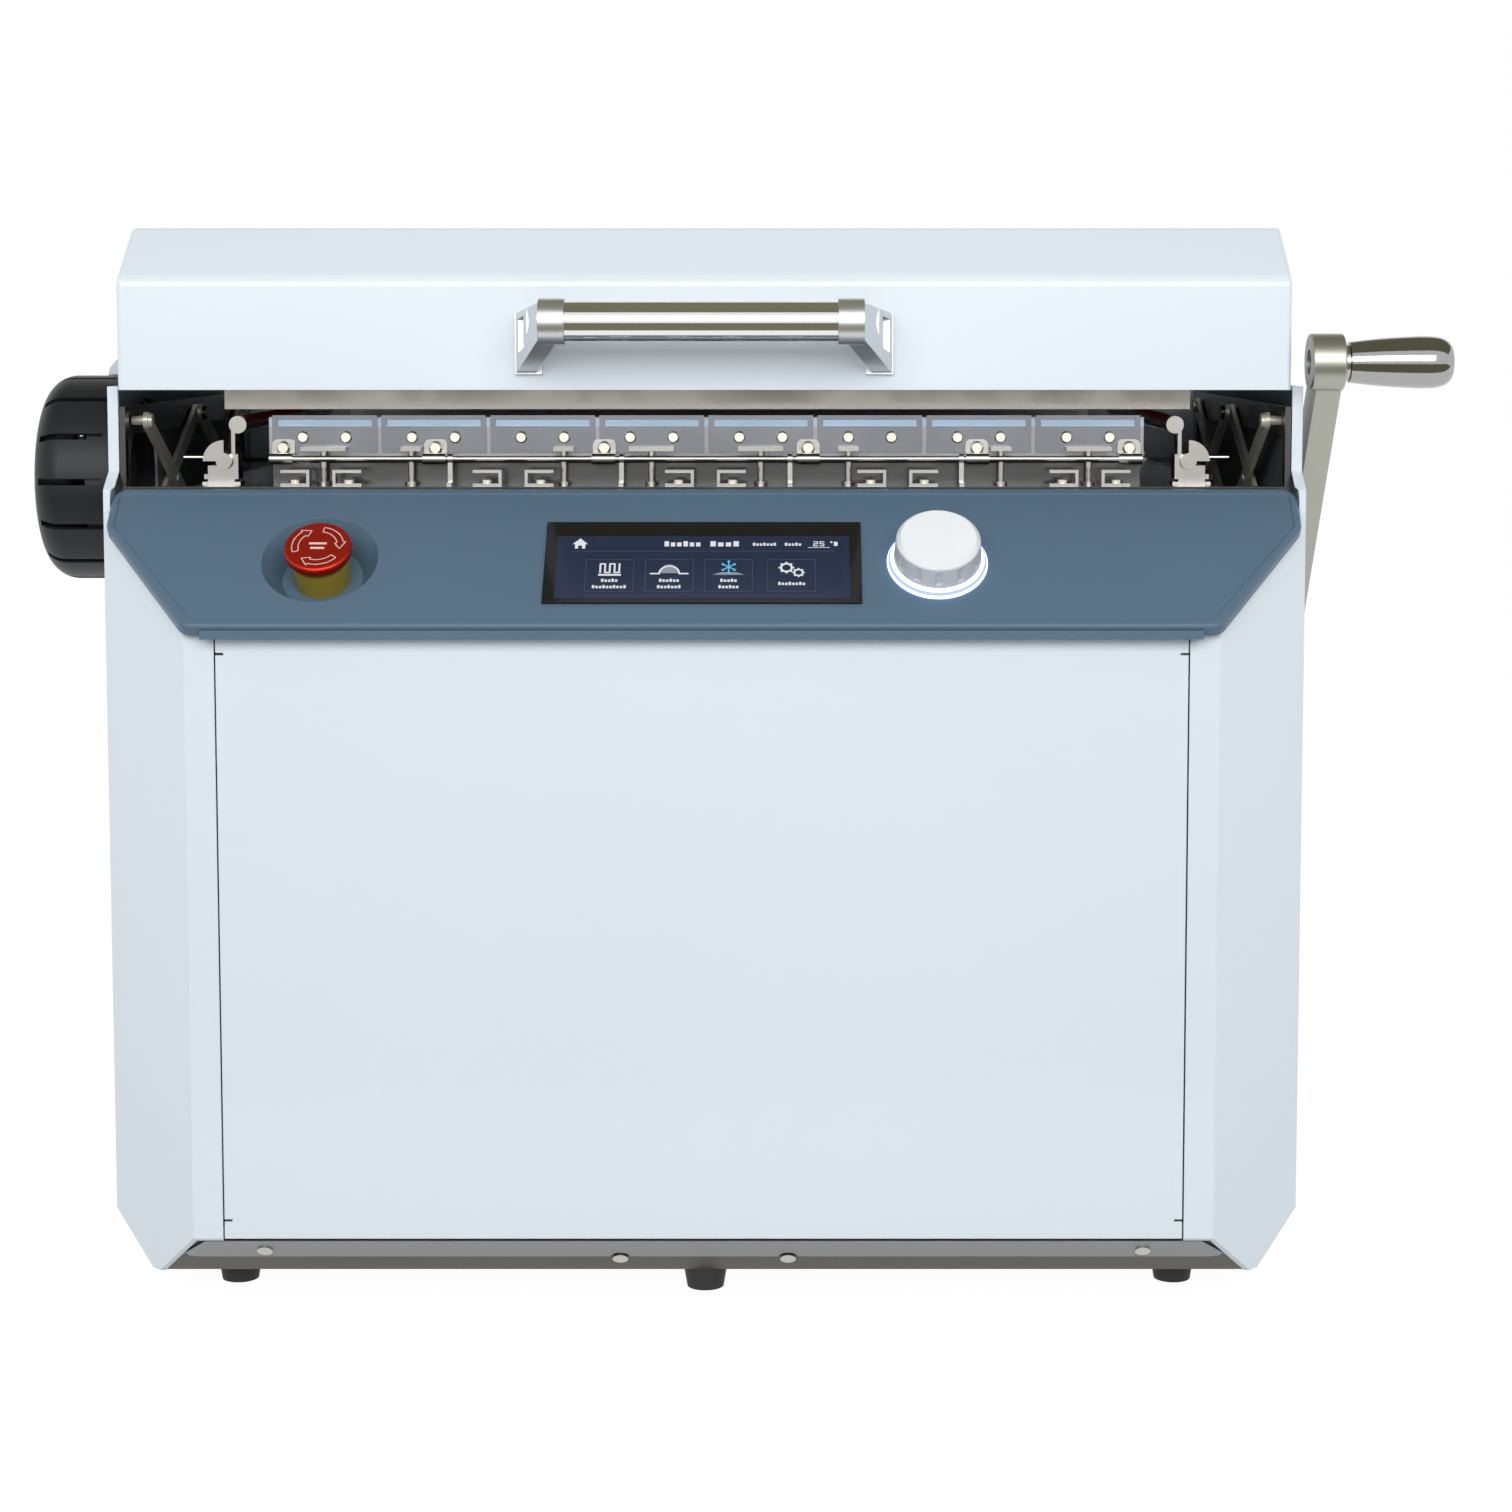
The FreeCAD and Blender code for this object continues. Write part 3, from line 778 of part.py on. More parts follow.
def pinion(x):
    base = PITCH_R * math.cos(math.radians(20))
    root, tip = PITCH_R - 1.25 * MODULE, PITCH_R + 0.85 * MODULE
    half = math.pi / (2 * TEETH) - BACKLASH / (2 * PITCH_R) + math.tan(math.radians(20)) - math.radians(20)
    radii = [root, base, (base + PITCH_R) / 2, PITCH_R, tip]
    flank = [(r, half - (involute(r) if r > base else 0.0)) for r in radii]
    points = []
    for i in range(TEETH):
        centre = 2 * math.pi * (i + 0.5) / TEETH
        for r, a in [(r, -a) for r, a in flank] + list(reversed(flank)):
            points.append((x, CRANK_Y + r * math.cos(centre + a), CRANK_Z + r * math.sin(centre + a)))
    gear = prism(points, (PINION_W, 0, 0))
    return gear.cut(rod((x - 1, CRANK_Y, CRANK_Z), (x + PINION_W + 1, CRANK_Y, CRANK_Z), DRIVE_R))


def rack(x):
    pitch = math.pi * MODULE
    line = CRANK_Y + PITCH_R
    slant = math.tan(math.radians(20))
    tip, root = 0.85 * MODULE, 1.25 * MODULE
    thick = pitch / 2 - BACKLASH
    points = []
    first, last = -4, int((CARRIAGE_TRAVEL + 20) / pitch)
    for i in range(first, last + 1):
        z = CRANK_Z + i * pitch
        points += [(x, line + root, z - thick / 2 - root * slant), (x, line - tip, z - thick / 2 + tip * slant),
                   (x, line - tip, z + thick / 2 - tip * slant), (x, line + root, z + thick / 2 + root * slant)]
    top = LOWER_TOP - LOWER_THICK
    points += [(x, line + root, top), (x, line + root + 8, top), (x, line + root + 8, points[0][2] - 4),
               (x, line + root, points[0][2] - 4)]
    return prism(points, (PINION_W, 0, 0))


def drive():
    write("lift_racks", both(rack(PINION_X)))
    write("drive_pinions", both(pinion(PINION_X)))
    left_end = -INNER_FACE - 2
    write("crank_shaft", rod((left_end, CRANK_Y, CRANK_Z), (ARM_X + ARM_T, CRANK_Y, CRANK_Z), DRIVE_R))
    wall_x = HALF_WIDTH - SHEET
    bush_right = tube((wall_x - INNER_WALL - 4, CRANK_Y, CRANK_Z), (HALF_WIDTH + 2, CRANK_Y, CRANK_Z),
                      BUSH_R, DRIVE_R + RUN)
    flange = tube((HALF_WIDTH, CRANK_Y, CRANK_Z), (HALF_WIDTH + 2, CRANK_Y, CRANK_Z), BUSH_R + 6, DRIVE_R + RUN)
    bush_left = tube((-wall_x, CRANK_Y, CRANK_Z), (-wall_x + INNER_WALL + 4, CRANK_Y, CRANK_Z), BUSH_R,
                     DRIVE_R + RUN)
    write("shaft_bushes", [fuse([bush_right, flange]), bush_left])

    lean = math.radians(CRANK_LEAN)
    top_y, top_z = CRANK_Y - CRANK_LENGTH * math.sin(lean), CRANK_Z + CRANK_LENGTH * math.cos(lean)
    across_y, across_z = math.cos(lean), math.sin(lean)
    wide, narrow = HUB_R - 3, BOSS_R - 4
    web = prism([(ARM_X + 1, CRANK_Y - wide * across_y, CRANK_Z - wide * across_z),
                 (ARM_X + 1, CRANK_Y + wide * across_y, CRANK_Z + wide * across_z),
                 (ARM_X + 1, top_y + narrow * across_y, top_z + narrow * across_z),
                 (ARM_X + 1, top_y - narrow * across_y, top_z - narrow * across_z)], (ARM_T - 2, 0, 0))
    hub = rod((ARM_X, CRANK_Y, CRANK_Z), (ARM_X + ARM_T, CRANK_Y, CRANK_Z), HUB_R)
    boss_x, bore_x = ARM_X - BOSS_PROUD, ARM_X - BOSS_PROUD + BOSS_RECESS
    boss = rod((boss_x, top_y, top_z), (ARM_X + ARM_T, top_y, top_z), BOSS_R)
    boss = soften(boss, BOSS_EASE, lambda e: e.BoundBox.XLength < 0.01)
    arm = fuse([web, hub, boss]).cut([rod((ARM_X - 2, CRANK_Y, CRANK_Z),
                                          (ARM_X + ARM_T + 1, CRANK_Y, CRANK_Z), DRIVE_R),
                                      rod((boss_x - 1, top_y, top_z), (bore_x, top_y, top_z), BOSS_RECESS_R),
                                      rod((bore_x - 1, top_y, top_z), (ARM_X + ARM_T + 1, top_y, top_z),
                                          SPINDLE_R)])
    write("crank_arm", arm)
    start = ARM_X + ARM_T + GRIP_COLLAR
    end = start + GRIP_LENGTH
    head, head_r = 3.0, SPINDLE_R + 1.5
    spindle = fuse([rod((bore_x, top_y, top_z), (end - 6, top_y, top_z), SPINDLE_R),
                    tube((ARM_X + ARM_T, top_y, top_z), (start - 0.3, top_y, top_z), 9.0, SPINDLE_R - 1),
                    rod((end - 6, top_y, top_z), (end - head, top_y, top_z), head_r)])
    write("grip_spindle", spindle)
    def at(x, r):
        return V(x, top_y, top_z + r)
    waist, blunt = GRIP_R - 3.0, GRIP_R - 7.0
    curve = Part.BSplineCurve()
    curve.interpolate([at(start, waist), at(start + 0.3 * GRIP_LENGTH, GRIP_R - 1.2),
                       at(start + 0.6 * GRIP_LENGTH, GRIP_R - 0.2),
                       at(end - 10, GRIP_R - 0.2), at(end - 4, GRIP_R - 1.6), at(end - 1,
                                                                                 GRIP_R - 4), at(end, blunt)])
    wire = Part.Wire([curve.toShape(), Part.makeLine(at(end, blunt), at(end, 0)),
                      Part.makeLine(at(end, 0), at(start, 0)),
                      Part.makeLine(at(start, 0), at(start, waist))])
    grip = Part.Face(wire).revolve(V(0, top_y, top_z), V(1, 0, 0), 360)
    grip = grip.cut([rod((start - 1, top_y, top_z), (end + 1, top_y, top_z), SPINDLE_R + RUN),
                     rod((end - 6.3, top_y, top_z), (end + 1, top_y, top_z), head_r + 0.3)])
    write("crank_grip", grip)


def table():
    half_x, half_y = WINDOW_X - TABLE_GAP, WINDOW_Y - TABLE_GAP
    under = TABLE_TOP - TABLE_THICK
    plate = box(-half_x, -half_y, under, half_x, half_y, TABLE_TOP)
    columns = [half_x * (2 * (i + 0.5) / HOLE_COLUMNS - 1) for i in range(HOLE_COLUMNS)]
    rows = [half_y * (2 * (i + 0.5) / HOLE_ROWS - 1) for i in range(HOLE_ROWS)]
    holes = [rod((x, y, under - 1), (x, y, TABLE_TOP + 1), HOLE_R) for x in columns for y in rows]
    write("forming_table", plate.cut(holes))
    box_x, box_y, floor = half_x - BOX_SET, half_y - BOX_SET, FOOT_HEIGHT + FLOOR_THICK
    chamber = box(-box_x, -box_y, BOX_LOW, box_x, box_y, under).cut(
        box(-box_x + BOX_WALL, -box_y + BOX_WALL, BOX_LOW + BOX_WALL, box_x - BOX_WALL, box_y - BOX_WALL,
            under + 1))
    leg_x, leg_y = box_x - LEG_SET, box_y - LEG_SET / 2
    legs = [box(x - LEG_W, y - LEG_W, floor, x, y, BOX_LOW) for x in (leg_x, -leg_x + LEG_W)
            for y in (leg_y, -leg_y + LEG_W)]
    port = rod((PIPE_X, PUMP_Y, BOX_LOW - 1), (PIPE_X, PUMP_Y, BOX_LOW + BOX_WALL + 1), PIPE_R)
    write("vacuum_box", fuse([chamber] + legs).cut(port))

    axis, end = floor + PUMP_R * 1.25, PUMP_X + PUMP_LENGTH
    pump = fuse([rod((PUMP_X, PUMP_Y, axis), (end, PUMP_Y, axis), PUMP_R),
                 rod((end, PUMP_Y, axis), (end + PUMP_CAP, PUMP_Y, axis), PUMP_CAP_R),
                 box(PUMP_X + BOX_SET, PUMP_Y - PUMP_R, floor, end - BOX_SET, PUMP_Y + PUMP_R,
                     axis - PUMP_R * 0.6)])
    pipe = tube((PIPE_X, PUMP_Y, axis + PUMP_R * 0.75), (PIPE_X, PUMP_Y, BOX_LOW + BOX_WALL), PIPE_R,
                PIPE_R - PIPE_WALL)
    write("vacuum_pump", fuse([pump, pipe]))

    back = REAR_Y - SHEET
    face = back - BOARD_STAND - BOARD_T

    def chip(u, w, v, h, deep):
        return box(BOARD_X + u * BOARD_W, face - deep, BOARD_Z + v * BOARD_H,
                   BOARD_X + (u + w) * BOARD_W, face, BOARD_Z + (v + h) * BOARD_H)
    board = [box(BOARD_X, face, BOARD_Z, BOARD_X + BOARD_W, back - BOARD_STAND, BOARD_Z + BOARD_H),
             chip(0.12, 0.25, 0.17, 0.25, 18.0), chip(0.5, 0.13, 0.58, 0.17, 10.0), chip(0.75, 0.16, 0.17,
                                                                                         0.17, 6.0)]
    edge = BOARD_POST_SET
    board += [rod((x, face + BOARD_T / 2, z), (x, back, z), BOARD_POST_R)
              for x in (BOARD_X + edge, BOARD_X + BOARD_W - edge)
              for z in (BOARD_Z + edge, BOARD_Z + BOARD_H - edge)]
    write("control_board", fuse(board))


def main():
    os.makedirs(PARTS, exist_ok=True)
    cabinet()
    console()
    fan()
    hood()
    carriage()
    table()


main()
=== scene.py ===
import math

import bmesh
import bpy
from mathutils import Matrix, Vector


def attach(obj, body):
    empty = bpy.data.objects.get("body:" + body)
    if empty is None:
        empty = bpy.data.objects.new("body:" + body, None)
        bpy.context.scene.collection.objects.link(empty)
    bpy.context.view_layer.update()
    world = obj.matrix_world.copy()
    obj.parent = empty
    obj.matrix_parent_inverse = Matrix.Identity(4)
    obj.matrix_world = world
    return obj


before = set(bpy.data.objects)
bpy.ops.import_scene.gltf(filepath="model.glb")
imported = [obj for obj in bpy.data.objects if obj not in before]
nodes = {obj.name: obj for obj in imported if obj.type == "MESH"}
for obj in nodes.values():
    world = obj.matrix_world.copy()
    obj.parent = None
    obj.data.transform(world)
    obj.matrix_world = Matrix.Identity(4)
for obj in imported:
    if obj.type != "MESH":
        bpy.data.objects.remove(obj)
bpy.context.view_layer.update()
scene = bpy.context.scene
mm = 0.001
print("frame loaded:", len(nodes), "nodes")


# shared shader effects

def newGroup(name, inputs, outputs):
    group = bpy.data.node_groups.new(name, "ShaderNodeTree")
    for label, kind, value in inputs:
        socket = group.interface.new_socket(label, in_out="INPUT", socket_type=kind)
        socket.default_value = value
    for label, kind in outputs:
        group.interface.new_socket(label, in_out="OUTPUT", socket_type=kind)
    entry = group.nodes.new("NodeGroupInput")
    leave = group.nodes.new("NodeGroupOutput")
    return group, entry, leave


def makeFineGrain():
    group, entry, leave = newGroup(
        "fineGrain",
        [("Scale", "NodeSocketFloat", 900.0), ("Stretch", "NodeSocketVector", (1.0, 1.0, 1.0))],
        [("Height", "NodeSocketFloat")])
    coords = group.nodes.new("ShaderNodeTexCoord")
    stretch = group.nodes.new("ShaderNodeVectorMath")
    stretch.operation = "MULTIPLY"
    noise = group.nodes.new("ShaderNodeTexNoise")
    noise.inputs["Detail"].default_value = 3.0
    noise.inputs["Roughness"].default_value = 0.55
    link = group.links.new
    link(coords.outputs["Object"], stretch.inputs[0])
    link(entry.outputs["Stretch"], stretch.inputs[1])
    link(stretch.outputs["Vector"], noise.inputs["Vector"])
    link(entry.outputs["Scale"], noise.inputs["Scale"])
    link(noise.outputs["Fac"], leave.inputs["Height"])
    return group


def makeSoftVariation():
    group, entry, leave = newGroup(
        "softVariation",
        [("Scale", "NodeSocketFloat", 9.0), ("Low", "NodeSocketFloat", 0.2), ("High", "NodeSocketFloat", 0.3),
         ("Dark", "NodeSocketColor", (0.8, 0.8, 0.8, 1.0)),
         ("Light", "NodeSocketColor", (0.9, 0.9, 0.9, 1.0))],
        [("Value", "NodeSocketFloat"), ("Color", "NodeSocketColor")])
    coords = group.nodes.new("ShaderNodeTexCoord")
    noise = group.nodes.new("ShaderNodeTexNoise")
    noise.inputs["Detail"].default_value = 4.0
    ramp = group.nodes.new("ShaderNodeMapRange")
    ramp.inputs["From Min"].default_value = 0.3
    ramp.inputs["From Max"].default_value = 0.7
    mix = group.nodes.new("ShaderNodeMix")
    mix.data_type = "RGBA"
    link = group.links.new
    link(coords.outputs["Object"], noise.inputs["Vector"])
    link(entry.outputs["Scale"], noise.inputs["Scale"])
    link(noise.outputs["Fac"], ramp.inputs["Value"])
    link(entry.outputs["Low"], ramp.inputs["To Min"])
    link(entry.outputs["High"], ramp.inputs["To Max"])
    link(ramp.outputs["Result"], leave.inputs["Value"])
    link(noise.outputs["Fac"], mix.inputs[0])
    link(entry.outputs["Dark"], mix.inputs[6])
    link(entry.outputs["Light"], mix.inputs[7])
    link(mix.outputs[2], leave.inputs["Color"])
    return group


def makeAxisBand():
    # one colour between two places along an axis, another outside them
    group, entry, leave = newGroup(
        "axisBand",
        [("Axis", "NodeSocketVector", (0.0, 0.0, 1.0)), ("Low", "NodeSocketFloat", 0.0),
         ("High", "NodeSocketFloat", 1.0),
         ("Outside", "NodeSocketColor", (0.2, 0.2, 0.2, 1.0)),
         ("Inside", "NodeSocketColor", (0.6, 0.6, 0.6, 1.0))],
        [("Color", "NodeSocketColor")])
    coords = group.nodes.new("ShaderNodeTexCoord")
    along = group.nodes.new("ShaderNodeVectorMath")
    along.operation = "DOT_PRODUCT"
    above = group.nodes.new("ShaderNodeMath")
    above.operation = "GREATER_THAN"
    below = group.nodes.new("ShaderNodeMath")
    below.operation = "LESS_THAN"
    both = group.nodes.new("ShaderNodeMath")
    both.operation = "MULTIPLY"
    mix = group.nodes.new("ShaderNodeMix")
    mix.data_type = "RGBA"
    link = group.links.new
    link(coords.outputs["Object"], along.inputs[0])
    link(entry.outputs["Axis"], along.inputs[1])
    link(along.outputs["Value"], above.inputs[0])
    link(entry.outputs["Low"], above.inputs[1])
    link(along.outputs["Value"], below.inputs[0])
    link(entry.outputs["High"], below.inputs[1])
    link(above.outputs[0], both.inputs[0])
    link(below.outputs[0], both.inputs[1])
    link(both.outputs[0], mix.inputs[0])
    link(entry.outputs["Outside"], mix.inputs[6])
    link(entry.outputs["Inside"], mix.inputs[7])
    link(mix.outputs[2], leave.inputs["Color"])
    return group


fineGrain = makeFineGrain()
softVariation = makeSoftVariation()
axisBand = makeAxisBand()


surface = {"coatRough": 0.06, "bumpDepth": 0.0004, "edgeSamples": 4, "polished": 0.02}


def shade(color, factor):
    return (color[0] * factor, color[1] * factor, color[2] * factor, 1.0)


def makeFinish(name, color, rough, metal=0.0, spread=0.04, tone=0.06, scale=9.0, grain=900.0, bump=0.02,
               stretch=(1.0, 1.0, 1.0), coat=0.0, specular=0.5, soften=0.0005):
    # one painted, moulded or metal surface: tone and gloss vary softly, the grain makes the bump
    material = bpy.data.materials.new(name)
    material.use_nodes = True
    tree = material.node_tree
    shader = tree.nodes["Principled BSDF"]
    shader.inputs["Metallic"].default_value = metal
    shader.inputs["Coat Weight"].default_value = coat
    shader.inputs["Coat Roughness"].default_value = surface["coatRough"]
    shader.inputs["Specular IOR Level"].default_value = specular
    soft = tree.nodes.new("ShaderNodeGroup")
    soft.node_tree = softVariation
    soft.inputs["Scale"].default_value = scale
    soft.inputs["Low"].default_value = max(surface["polished"], rough - spread)
    soft.inputs["High"].default_value = rough + spread
    soft.inputs["Dark"].default_value = shade(color, 1.0 - tone)
    soft.inputs["Light"].default_value = shade(color, 1.0 + tone)
    fine = tree.nodes.new("ShaderNodeGroup")
    fine.node_tree = fineGrain
    fine.inputs["Scale"].default_value = grain
    fine.inputs["Stretch"].default_value = stretch
    relief = tree.nodes.new("ShaderNodeBump")
    relief.inputs["Strength"].default_value = bump
    relief.inputs["Distance"].default_value = surface["bumpDepth"]
    link = tree.links.new
    if soften > 0:
        edge = tree.nodes.new("ShaderNodeBevel")
        edge.samples = surface["edgeSamples"]
        edge.inputs["Radius"].default_value = soften
        link(edge.outputs["Normal"], relief.inputs["Normal"])
    link(soft.outputs["Color"], shader.inputs["Base Color"])
    link(soft.outputs["Value"], shader.inputs["Roughness"])
    link(fine.outputs["Height"], relief.inputs["Height"])
    link(relief.outputs["Normal"], shader.inputs["Normal"])
    return material


def makeBanded(name, inside, outside, rough, axis, low, high):
    # a metal that is bright between two places in millimetres along an axis and dull elsewhere; on the
    # slotted frame the bright band is painted light
    material = makeFinish(name, outside, rough, metal=1.0, tone=0.08, scale=25.0, grain=600.0, bump=0.04,
                          soften=0)
    tree = material.node_tree
    shader = tree.nodes["Principled BSDF"]
    band = tree.nodes.new("ShaderNodeGroup")
    band.node_tree = axisBand
    band.inputs["Axis"].default_value = axis
    band.inputs["Low"].default_value = low * mm
    band.inputs["High"].default_value = high * mm
    band.inputs["Inside"].default_value = (*inside, 1.0)
    outsideTone = shader.inputs["Base Color"].links[0].from_socket
    tree.links.new(outsideTone, band.inputs["Outside"])
    tree.links.new(band.outputs["Color"], shader.inputs["Base Color"])
    return material


def makeGlow(name, color, strength, base=(0.02, 0.02, 0.02), rough=0.3):
    material = bpy.data.materials.new(name)
    material.use_nodes = True
    tree = material.node_tree
    shader = tree.nodes["Principled BSDF"]
    shader.inputs["Roughness"].default_value = rough
    shader.inputs["Emission Strength"].default_value = strength
    shader.inputs["Base Color"].default_value = (*base, 1.0)
    soft = tree.nodes.new("ShaderNodeGroup")
    soft.node_tree = softVariation
    soft.inputs["Scale"].default_value = 30.0
    soft.inputs["Dark"].default_value = shade(color, 0.93)
    soft.inputs["Light"].default_value = shade(color, 1.05)
    tree.links.new(soft.outputs["Color"], shader.inputs["Emission Color"])
    return material


finishes = {
    "whitePaint": makeFinish("whitePaint", (0.78, 0.85, 0.905), 0.22, tone=0.012, spread=0.03, scale=5.0,
                             grain=420.0,
                             bump=0.015, coat=0.2),
    "slatePaint": makeFinish("slatePaint", (0.098, 0.163, 0.228), 0.36, tone=0.03, grain=1500.0, bump=0.05,
                             specular=0.3),
    # grey painted shade: the skirt is white paint, coloured grey for the shade on its downward-facing bevel
    "skirtPaintedShade": makeFinish("skirtPaintedShade", (0.36, 0.37, 0.38), 0.38, tone=0.03, bump=0.03),
    "charcoalPaint": makeFinish("charcoalPaint", (0.034, 0.041, 0.046), 0.42, tone=0.1, bump=0.06),
    "baseSteel": makeFinish("baseSteel", (0.096, 0.084, 0.07), 0.34, metal=0.75, tone=0.12, scale=14.0,
                            bump=0.03),
    "blackPlastic": makeFinish("blackPlastic", (0.012, 0.012, 0.013), 0.4, tone=0.15, grain=1300.0, bump=0.1),
    "footRubber": makeFinish("footRubber", (0.014, 0.013, 0.013), 0.65, tone=0.2, bump=0.12),
    "sealRubber": makeFinish("sealRubber", (0.05, 0.05, 0.05), 0.7, tone=0.15, bump=0.12),
    "redCap": makeFinish("redCap", (0.60, 0.028, 0.011), 0.3, metal=0.85, tone=0.06, grain=2200.0, bump=0.05),
    # yellow darkened as painted shade, for the shadow that the red head casts on the collar
    "yellowCollarPaintedShade": makeFinish("yellowCollarPaintedShade", (0.34, 0.26, 0.03), 0.35, tone=0.04, bump=0.02),
    "whitePlastic": makeFinish("whitePlastic", (0.87, 0.885, 0.90), 0.3, tone=0.012, bump=0.015),
    "greyPlastic": makeFinish("greyPlastic", (0.60, 0.62, 0.66), 0.36, tone=0.03, bump=0.04),
    "brushedSteel": makeFinish("brushedSteel", (0.42, 0.40, 0.37), 0.24, metal=1.0, tone=0.08, spread=0.08,
                               scale=30.0,
                               grain=600.0, bump=0.06, stretch=(0.05, 1.0, 1.0)),
    # the pale blue band at the slots is painted light: the lit hood seen through the slots, painted onto the
    # frame
    "slottedSteelPaintedLight": makeBanded("slottedSteelPaintedLight", (0.28, 0.37, 0.48), (0.28, 0.28, 0.29), 0.3, (0, 0, 1), 445.0,
                               449.0),
    "railSteel": makeBanded("railSteel", (0.54, 0.53, 0.50), (0.10, 0.10, 0.10), 0.22, (0, 1, 0), -400.0,
                            -137.5),
    # partly the steel's own colour, partly painted reflection: darkened and tinted blue for the plates'
    # dark-blue reflection
    "plateSteelPaintedReflection": makeFinish("plateSteelPaintedReflection", (0.25, 0.26, 0.28), 0.18, metal=1.0, tone=0.08, scale=30.0,
                             grain=600.0, bump=0.04,
                             stretch=(0.05, 1.0, 1.0), soften=0),
    # near-black painted shade: the lower clamp frame is darkened so that it vanishes into the shaded gap
    # under the clamp
    "frameSteelPaintedShade": makeFinish("frameSteelPaintedShade", (0.09, 0.088, 0.085), 0.24, metal=1.0, tone=0.08, scale=30.0,
                             bump=0.03, soften=0),
    "warmScrew": makeFinish("warmScrew", (0.90, 0.86, 0.75), 0.24, metal=1.0, tone=0.1, scale=120.0,
                            bump=0.03, soften=0),
    "nickel": makeFinish("nickel", (0.50, 0.485, 0.45), 0.2, metal=1.0, tone=0.06, scale=60.0, bump=0.02,
                         soften=0),
    # base colour raised as painted light, so that the links in the shaded bay look lit
    "linkSteelPaintedLight": makeFinish("linkSteelPaintedLight", (0.75, 0.72, 0.60), 0.36, metal=0.35, tone=0.1, scale=40.0,
                            bump=0.05, soften=0),
    "chrome": makeFinish("chrome", (0.80, 0.80, 0.79), 0.06, metal=1.0, tone=0.02, spread=0.02, bump=0.004),
    "gripChrome": makeFinish("gripChrome", (0.40, 0.40, 0.39), 0.08, metal=1.0, tone=0.03, spread=0.02,
                             bump=0.004),
    "armAluminium": makeFinish("armAluminium", (0.44, 0.445, 0.39), 0.38, metal=0.9, tone=0.04, grain=2600.0,
                               bump=0.05),
    "bayPaint": makeFinish("bayPaint", (0.085, 0.115, 0.12), 0.45, tone=0.1, bump=0.05),
    "fanPlastic": makeFinish("fanPlastic", (0.013, 0.015, 0.018), 0.42, tone=0.1, grain=1300.0, bump=0.08,
                             specular=0.3),
    "satinAluminium": makeFinish("satinAluminium", (0.66, 0.67, 0.68), 0.33, metal=0.95, tone=0.04,
                                 grain=2600.0, bump=0.05),
    "bronze": makeFinish("bronze", (0.62, 0.44, 0.2), 0.3, metal=1.0, tone=0.1, bump=0.03),
    "boardGreen": makeFinish("boardGreen", (0.03, 0.16, 0.07), 0.4, tone=0.2, scale=90.0, bump=0.05),
    "bezelGlass": makeFinish("bezelGlass", (0.006, 0.006, 0.007), 0.12, tone=0.05, spread=0.02, bump=0.0,
                             coat=0.2),
    "hotQuartz": makeGlow("hotQuartz", (1.0, 0.05, 0.01), 0.012, base=(0.06, 0.04, 0.03)),
    "screenNavy": makeGlow("screenNavy", (0.0105, 0.019, 0.045), 1.0, base=(0.004, 0.006, 0.012), rough=0.18),
    "iconWhite": makeGlow("iconWhite", (0.80, 0.83, 0.88), 0.9),
    "iconGrey": makeGlow("iconGrey", (0.27, 0.30, 0.36), 0.9),
    "iconCyan": makeGlow("iconCyan", (0.12, 0.55, 0.85), 0.9),
    "tileLine": makeGlow("tileLine", (0.03, 0.055, 0.11), 1.0),
    "arrowPaint": makeFinish("arrowPaint", (0.80, 0.62, 0.55), 0.4, tone=0.03, bump=0.02),
}
print("finishes made:", len(finishes))

finishOf = {
    "whitePaint": ["front_panel", "side_cover_left", "side_cover_right", "rear_panel", "hood_shell"],
    "slatePaint": ["console_fascia"],
    "skirtPaintedShade": ["front_skirt"],
    "baseSteel": ["base_tray"],
    "charcoalPaint": ["vacuum_box"],
    "frameSteelPaintedShade": ["lower_clamp_frame"],
    "bayPaint": ["inner_walls"],
    "fanPlastic": ["fan_cover"],
    "blackPlastic": ["fan_housing", "fan_rotor", "power_inlet", "encoder_body"],
    "footRubber": ["rubber_feet"],
    "sealRubber": ["sheet_gaskets"],
    "redCap": ["stop_button"],
    "yellowCollarPaintedShade": ["stop_collar"],
    "whitePlastic": ["knob_cap"],
    "greyPlastic": ["knob_skirt", "stop_plunger"],
    "brushedSteel": ["heater_tray"],
    "plateSteelPaintedReflection": ["gripper_plates"],
    "slottedSteelPaintedLight": ["upper_clamp_frame"],
    "railSteel": ["rail_brackets"],
    "warmScrew": ["clamp_screws"],
    "nickel": ["clip_tabs", "end_brackets", "clamp_cam_left", "clamp_cam_right",
               "base_screws", "lift_racks", "drive_pinions", "crank_shaft", "grip_spindle", "encoder_shaft",
               "hood_hinge_arms", "cabinet_hinge_blocks"],
    "linkSteelPaintedLight": ["scissor_base_rails"] + [name for name in nodes if name.startswith("link_")],
    "chrome": ["handle_tube"],
    "gripChrome": ["crank_grip"],
    "armAluminium": ["crank_arm"],
    "satinAluminium": ["handle_brackets", "forming_table", "vacuum_pump"],
    "bronze": ["shaft_bushes"],
    "boardGreen": ["control_board"],
    "bezelGlass": ["screen_glass"],
    "hotQuartz": ["heater_tubes"],
}
for finish, members in finishOf.items():
    for member in members:
        mesh = nodes[member].data
        mesh.materials.clear()
        mesh.materials.append(finishes[finish])
print("finishes placed on", sum(len(m) for m in finishOf.values()), "nodes")


# the console's slope: u to the right, s down the slope, n outwards, in millimetres
consolePlane = {
    "topY": -163.0, "topZ": 414.0,
    "lipY": -236.0, "lipZ": 349.0,
    "middleX": -14.0,
}
fall = (consolePlane["lipY"] - consolePlane["topY"], consolePlane["lipZ"] - consolePlane["topZ"])
slope = Vector((0, *fall)).normalized()
outward = Vector((0, slope.z, -slope.y))


def onConsole(u, s, n):
    start = Vector((consolePlane["middleX"] + u, consolePlane["topY"], consolePlane["topZ"]))
    return (start + slope * s + outward * n) * mm


